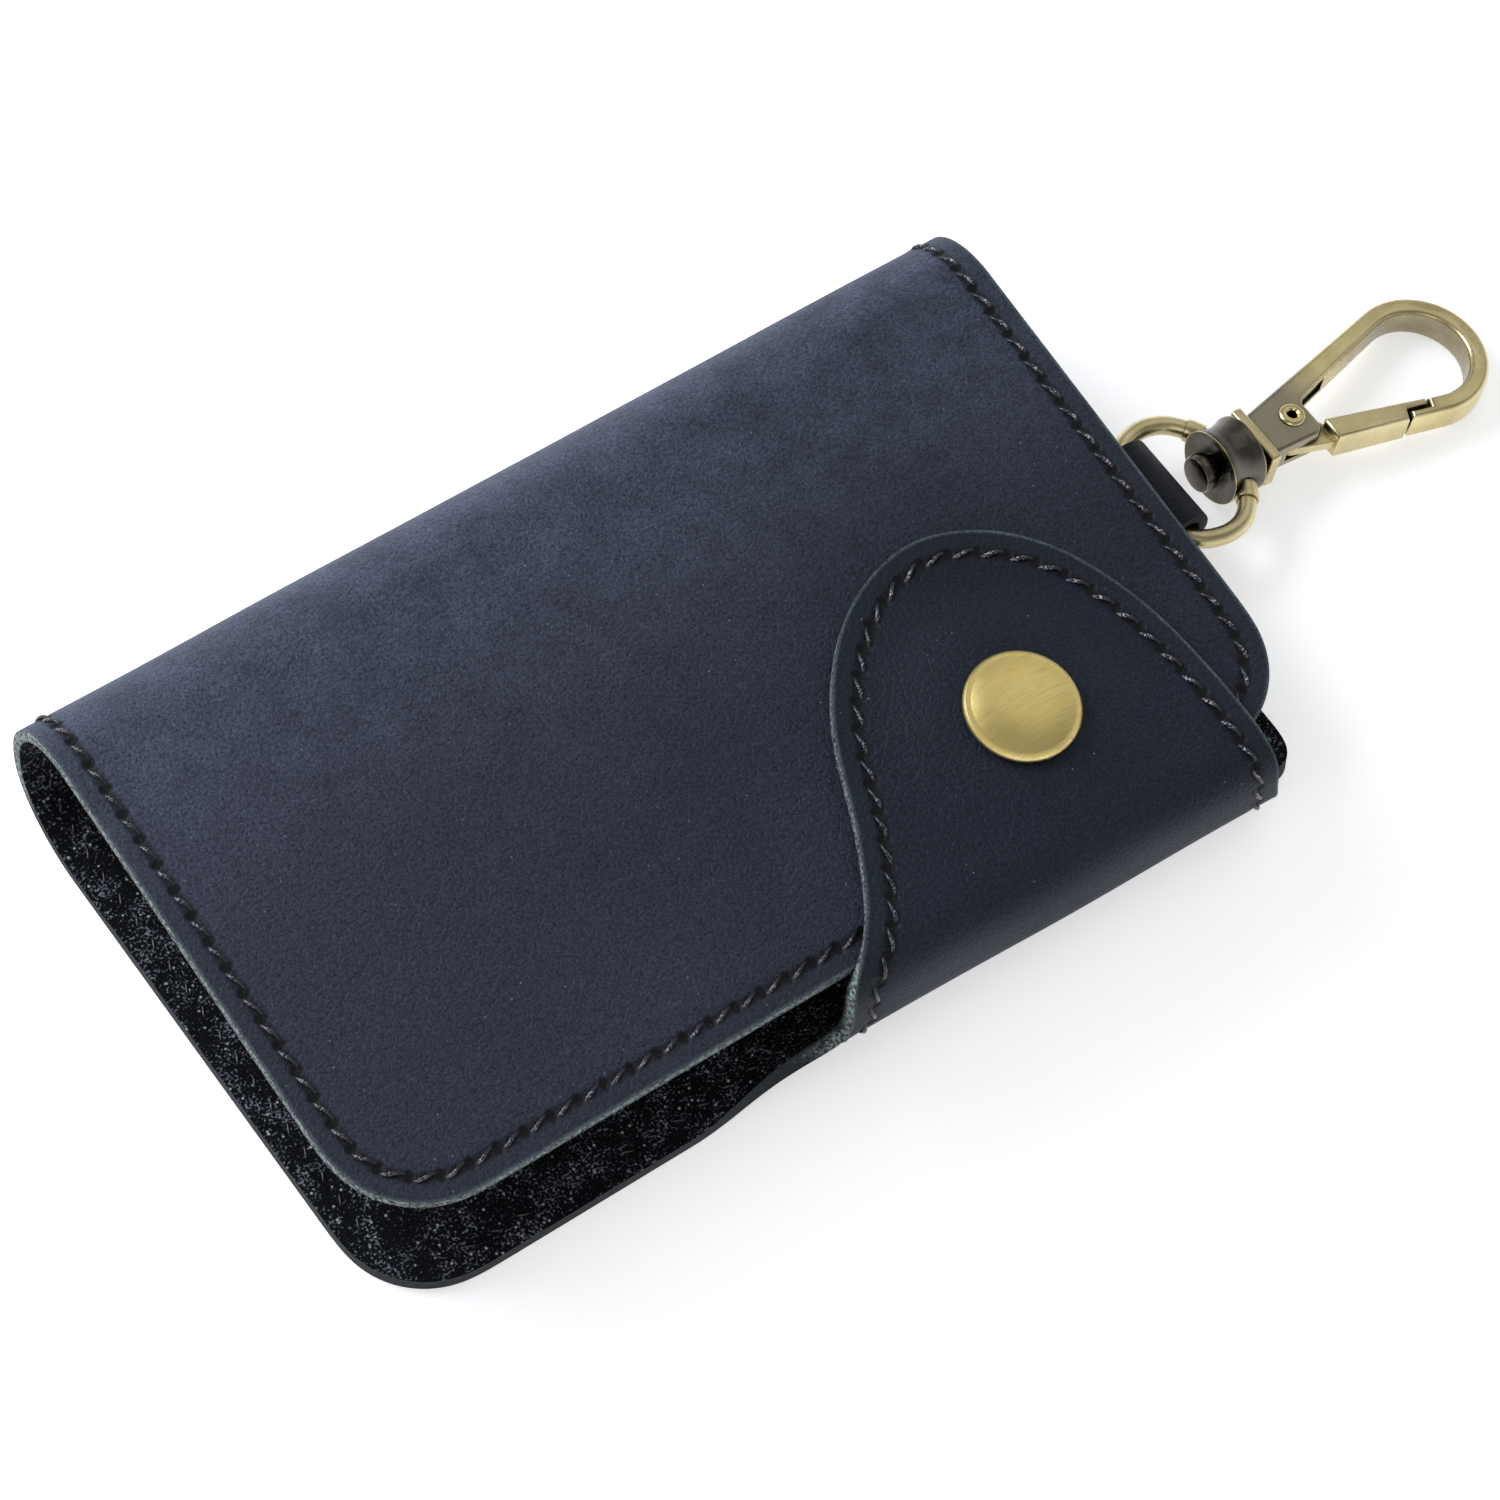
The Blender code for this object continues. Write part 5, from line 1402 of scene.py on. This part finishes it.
stem_head_length = 0.0019
stem_head = collar_start - 0.0003 - stem_head_length
stem_outer_rim = ((0, 0), (0.0016, 0), (0.0020, 0.00018), (0.00215, 0.0005))
stem_inner_rim = ((0.00215, 0.0015), (0.0020, 0.0018), (0.0017, stem_head_length))
stem_profile = [
    *above(stem_head, *stem_outer_rim, *stem_inner_rim, (stem_radius, stem_head_length)),
    *above(head_start, (stem_radius, 0), (0, 0)),
]
stem = placed(turned(stem_profile), bar_frame @ lying)
piece("headed_stem", stem, (dark_brass,), (), "hook")

# Gate: a cast lever on a hollow brass rivet, with a thin neck in the head's slot, held shut
# by a small leaf of spring brass in the arm.
gate_frame = head_frame @ Matrix.Translation((gate_x, gate_y, 0))
lip -= gate_tip_gap
step_in -= gate_tip_gap
gate_outline = [
    (crotch + 0.0003, gate_inside(crotch)),
    (crotch, gate_inside(crotch) - 0.0003),
    (crotch, gate_outside(crotch)),
    on_circle(lip, gate_outside),
    on_circle(lip, gate_middle, gate_tip_gap),
    on_circle(step_in, gate_middle, gate_tip_gap),
    on_circle(step_in, gate_inside),
]
lever = slab(gate_outline, hook_thickness, gate_round)
neck_radius = 0.0019
neck_thickness = 0.0013
neck_back = tongue_end + 2 * gate_back_gap
neck_middle = gate_middle(tongue_end)
neck_outline = [
    *corner_arc((gate_x, gate_y), neck_radius, 30, 180, 20),
    (gate_x - 0.0024, -0.0012),
    (gate_x - 0.0025, -0.0024),
    (gate_x - 0.0022, -0.0027),
    (neck_back, gate_outside(crotch) + 0.0002),
    (neck_back, neck_middle + 0.00095),
]
lever = joined(lever, (slab(neck_outline, neck_thickness, 0.0001, 1),), "UNION")
lever = placed(joined(lever, (rivet_bore(),), "DIFFERENCE"), head_frame)
piece("gate_lever", lever, (cast_brass,), ("hook_gate",), "gate", sharp=35)

rivet_top = hook_thickness / 2 + 0.0004
rolled_rim = ((0.00055, -0.0002), (0.00075, 0), (0.00115, 0), (0.0014, -0.00012), (0.0015, -0.0003))
rivet_profile = [
    (0.00055, 0.0),
    *above(rivet_top, *rolled_rim, (0.00090, -0.0003)),
    (0.00090, 0.0),
]
rivet_profile += [(radius, -height) for radius, height in reversed(rivet_profile[1:-1])]
rivet_profile.append(rivet_profile[0])
rivet = placed(turned(rivet_profile, 48), gate_frame)
rivet_brass = brass("brass rivet, polished by wear", "#efe0b0", "#cdbc84", "#2a241a", 0.22)
piece("hollow_rivet", rivet, (rivet_brass,), ("gate_rivet",), "hook")

spring = box((0.0003, 0.00030, -0.0005), (0.0055, 0.00060, 0.0005), 0.00005)
bm = placed(spring, head_frame @ spring_seat)
piece("leaf_spring", bm, (dark_brass,), ("gate_spring",), "hook")

# Key rail: a bright brass sheet rolled round a rod, with a slot for each hook's eye. Two
# domed rivets hold it through a leather patch glued inside the back.
rail_x = half_length - 0.0245
rail_y = -0.0020
key_count = 6
key_pitch = 0.0064
rail_ends = 0.0026
rail_length = key_count * key_pitch + rail_ends
rail_sheet = 0.0006
plate_reach = 0.0110
rod_radius = 0.0007
rod_break = 0.00015
rod_fit = 0.0003
roll_inner = rod_radius + rod_fit
roll_outer = roll_inner + rail_sheet
patch_leather = 0.0013
patch_start = 0.0026
patch_margin = 0.0015
patch_low = back_leather + leather_gap
patch_top = patch_low + patch_leather
rail_height = patch_top + leather_gap + roll_outer
rail_frame = Matrix.Translation((rail_x, rail_y, rail_height))
rail_name = "sheet brass, polished and lacquered"
plain_brass = brass(rail_name, "#e8cf86", "#cdb062", "#6b5526", 0.20, patina_and_shade=0.5)

patch_near = rail_x + patch_start
patch_far = rail_x + plate_reach + patch_margin
patch_half = rail_length / 2 + patch_margin
near_corner = (patch_near, rail_y - patch_half, patch_low)
patch = box(near_corner, (patch_far, rail_y + patch_half, patch_top), 0.0003)
thick_suede = suede("thick suede, skived and glued")
piece("glued_patch", patch, (thick_suede,), ("rail_patch",), "pouch")

rail_outline = [
    (plate_reach, -roll_outer),
    *corner_arc((0, 0), roll_outer, -90, -340, 32),
    *corner_arc((0, 0), roll_inner, -340, -90, 28),
    (plate_reach, -roll_inner),
]
half_eye_slot = 0.0017
key_places = [(number - (key_count - 1) / 2) * key_pitch for number in range(key_count)]
slots = []
for y in key_places:
    slots.append(box((-0.0030, y - half_eye_slot, -0.0030), (0.0026, y + half_eye_slot, 0.0030)))
along_rail = Matrix.Rotation(math.pi / 2, 4, "X")
bm = placed(slab(rail_outline, rail_length, 0.00008, 1), along_rail)
bm = placed(joined(bm, slots, "DIFFERENCE"), rail_frame)
piece("rolled_rail", bm, (plain_brass,), ("key_rail",), "pouch", sharp=30)

rod_proud = 0.0006
half_rod = rail_length / 2 + rod_proud
rod_profile = [
    (0, half_rod),
    (rod_radius - rod_break, half_rod),
    (rod_radius, half_rod - rod_break),
    (rod_radius, rod_break - half_rod),
    (rod_radius - rod_break, -half_rod),
    (0, -half_rod),
]
bm = placed(turned(rod_profile, 24), rail_frame @ along_rail)
piece("turned_rod", bm, (plain_brass,), ("rail_rod",), "pouch")

plate_top = rail_height - roll_inner
rivet_dome = ((0, 0.0011), (0.0006, 0.00106), (0.0012, 0.00092), (0.0017, 0.0007), (0.0020, 0.0005))
rivet_under = ((0.0020, 0.0003), (0.0010, 0.0003))
rivet_profile = above(plate_top, *rivet_dome, *rivet_under)
rivet_profile += [(0.0010, patch_low), (0, patch_low)]
rivet_x = (patch_near + rail_x + plate_reach) / 2
rivet_inset = 0.0040
for number, end in ((1, -1), (2, 1)):
    y = rail_y + end * (rail_length / 2 - rivet_inset)
    bm = placed(turned(rivet_profile, 32), Matrix.Translation((rivet_x, y, 0)))
    node = f"rail_rivet_{number}"
    piece(f"domed_rivet_{number}", bm, (plain_brass,), (node,), "pouch")

# Key hooks: six flat loops of 1.3 mm brass wire. One end is rolled into an eye round the
# rod, and the loop's two sides spring apart to take a key ring.
key_wire = 0.00065
key_half_width = 0.0022
key_reach = 0.0235
key_shank = 0.0040
key_shoulder = 0.0060
key_eye_turn = 250
key_droop = math.radians(2.2)
key_eye = rod_radius + rod_fit + key_wire
key_end = key_reach - key_half_width - key_wire
key_shoulder_shares = ((0.0, 0.0), (1.0, 0.8), (2.2, 1.0))
turns = [math.radians(key_eye_turn * (1 - step / 20)) for step in range(21)]
eye_points = [Vector((key_eye * math.sin(turn), 0, -key_eye * math.cos(turn))) for turn in turns]
shoulder = []
for along, out in key_shoulder_shares:
    shoulder.append(Vector((key_shoulder + along * key_half_width, out * key_half_width)))
shoulder = [Vector((key_shank, 0)), *smooth_through(shoulder, 6)]
far_side = [Vector((p.x, -p.y)) for p in reversed(shoulder[2:])]
loop = [*shoulder, *corner_arc((key_end, 0), key_half_width, 90, -90, 24), *far_side]
wire_points = eye_points + [Vector((-p.x, p.y, -key_eye)) for p in loop]
for number, y in enumerate(key_places, 1):
    hang = Matrix.Translation((0, y, 0)) @ Matrix.Rotation(-key_droop, 4, "Y")
    name, node = f"wire_hook_{number}", f"key_hook_{number}"
    bm = placed(tube(name, wire_points, key_wire, roundness=3), rail_frame @ hang)
    piece(name, bm, (plain_brass,), (node,), node)
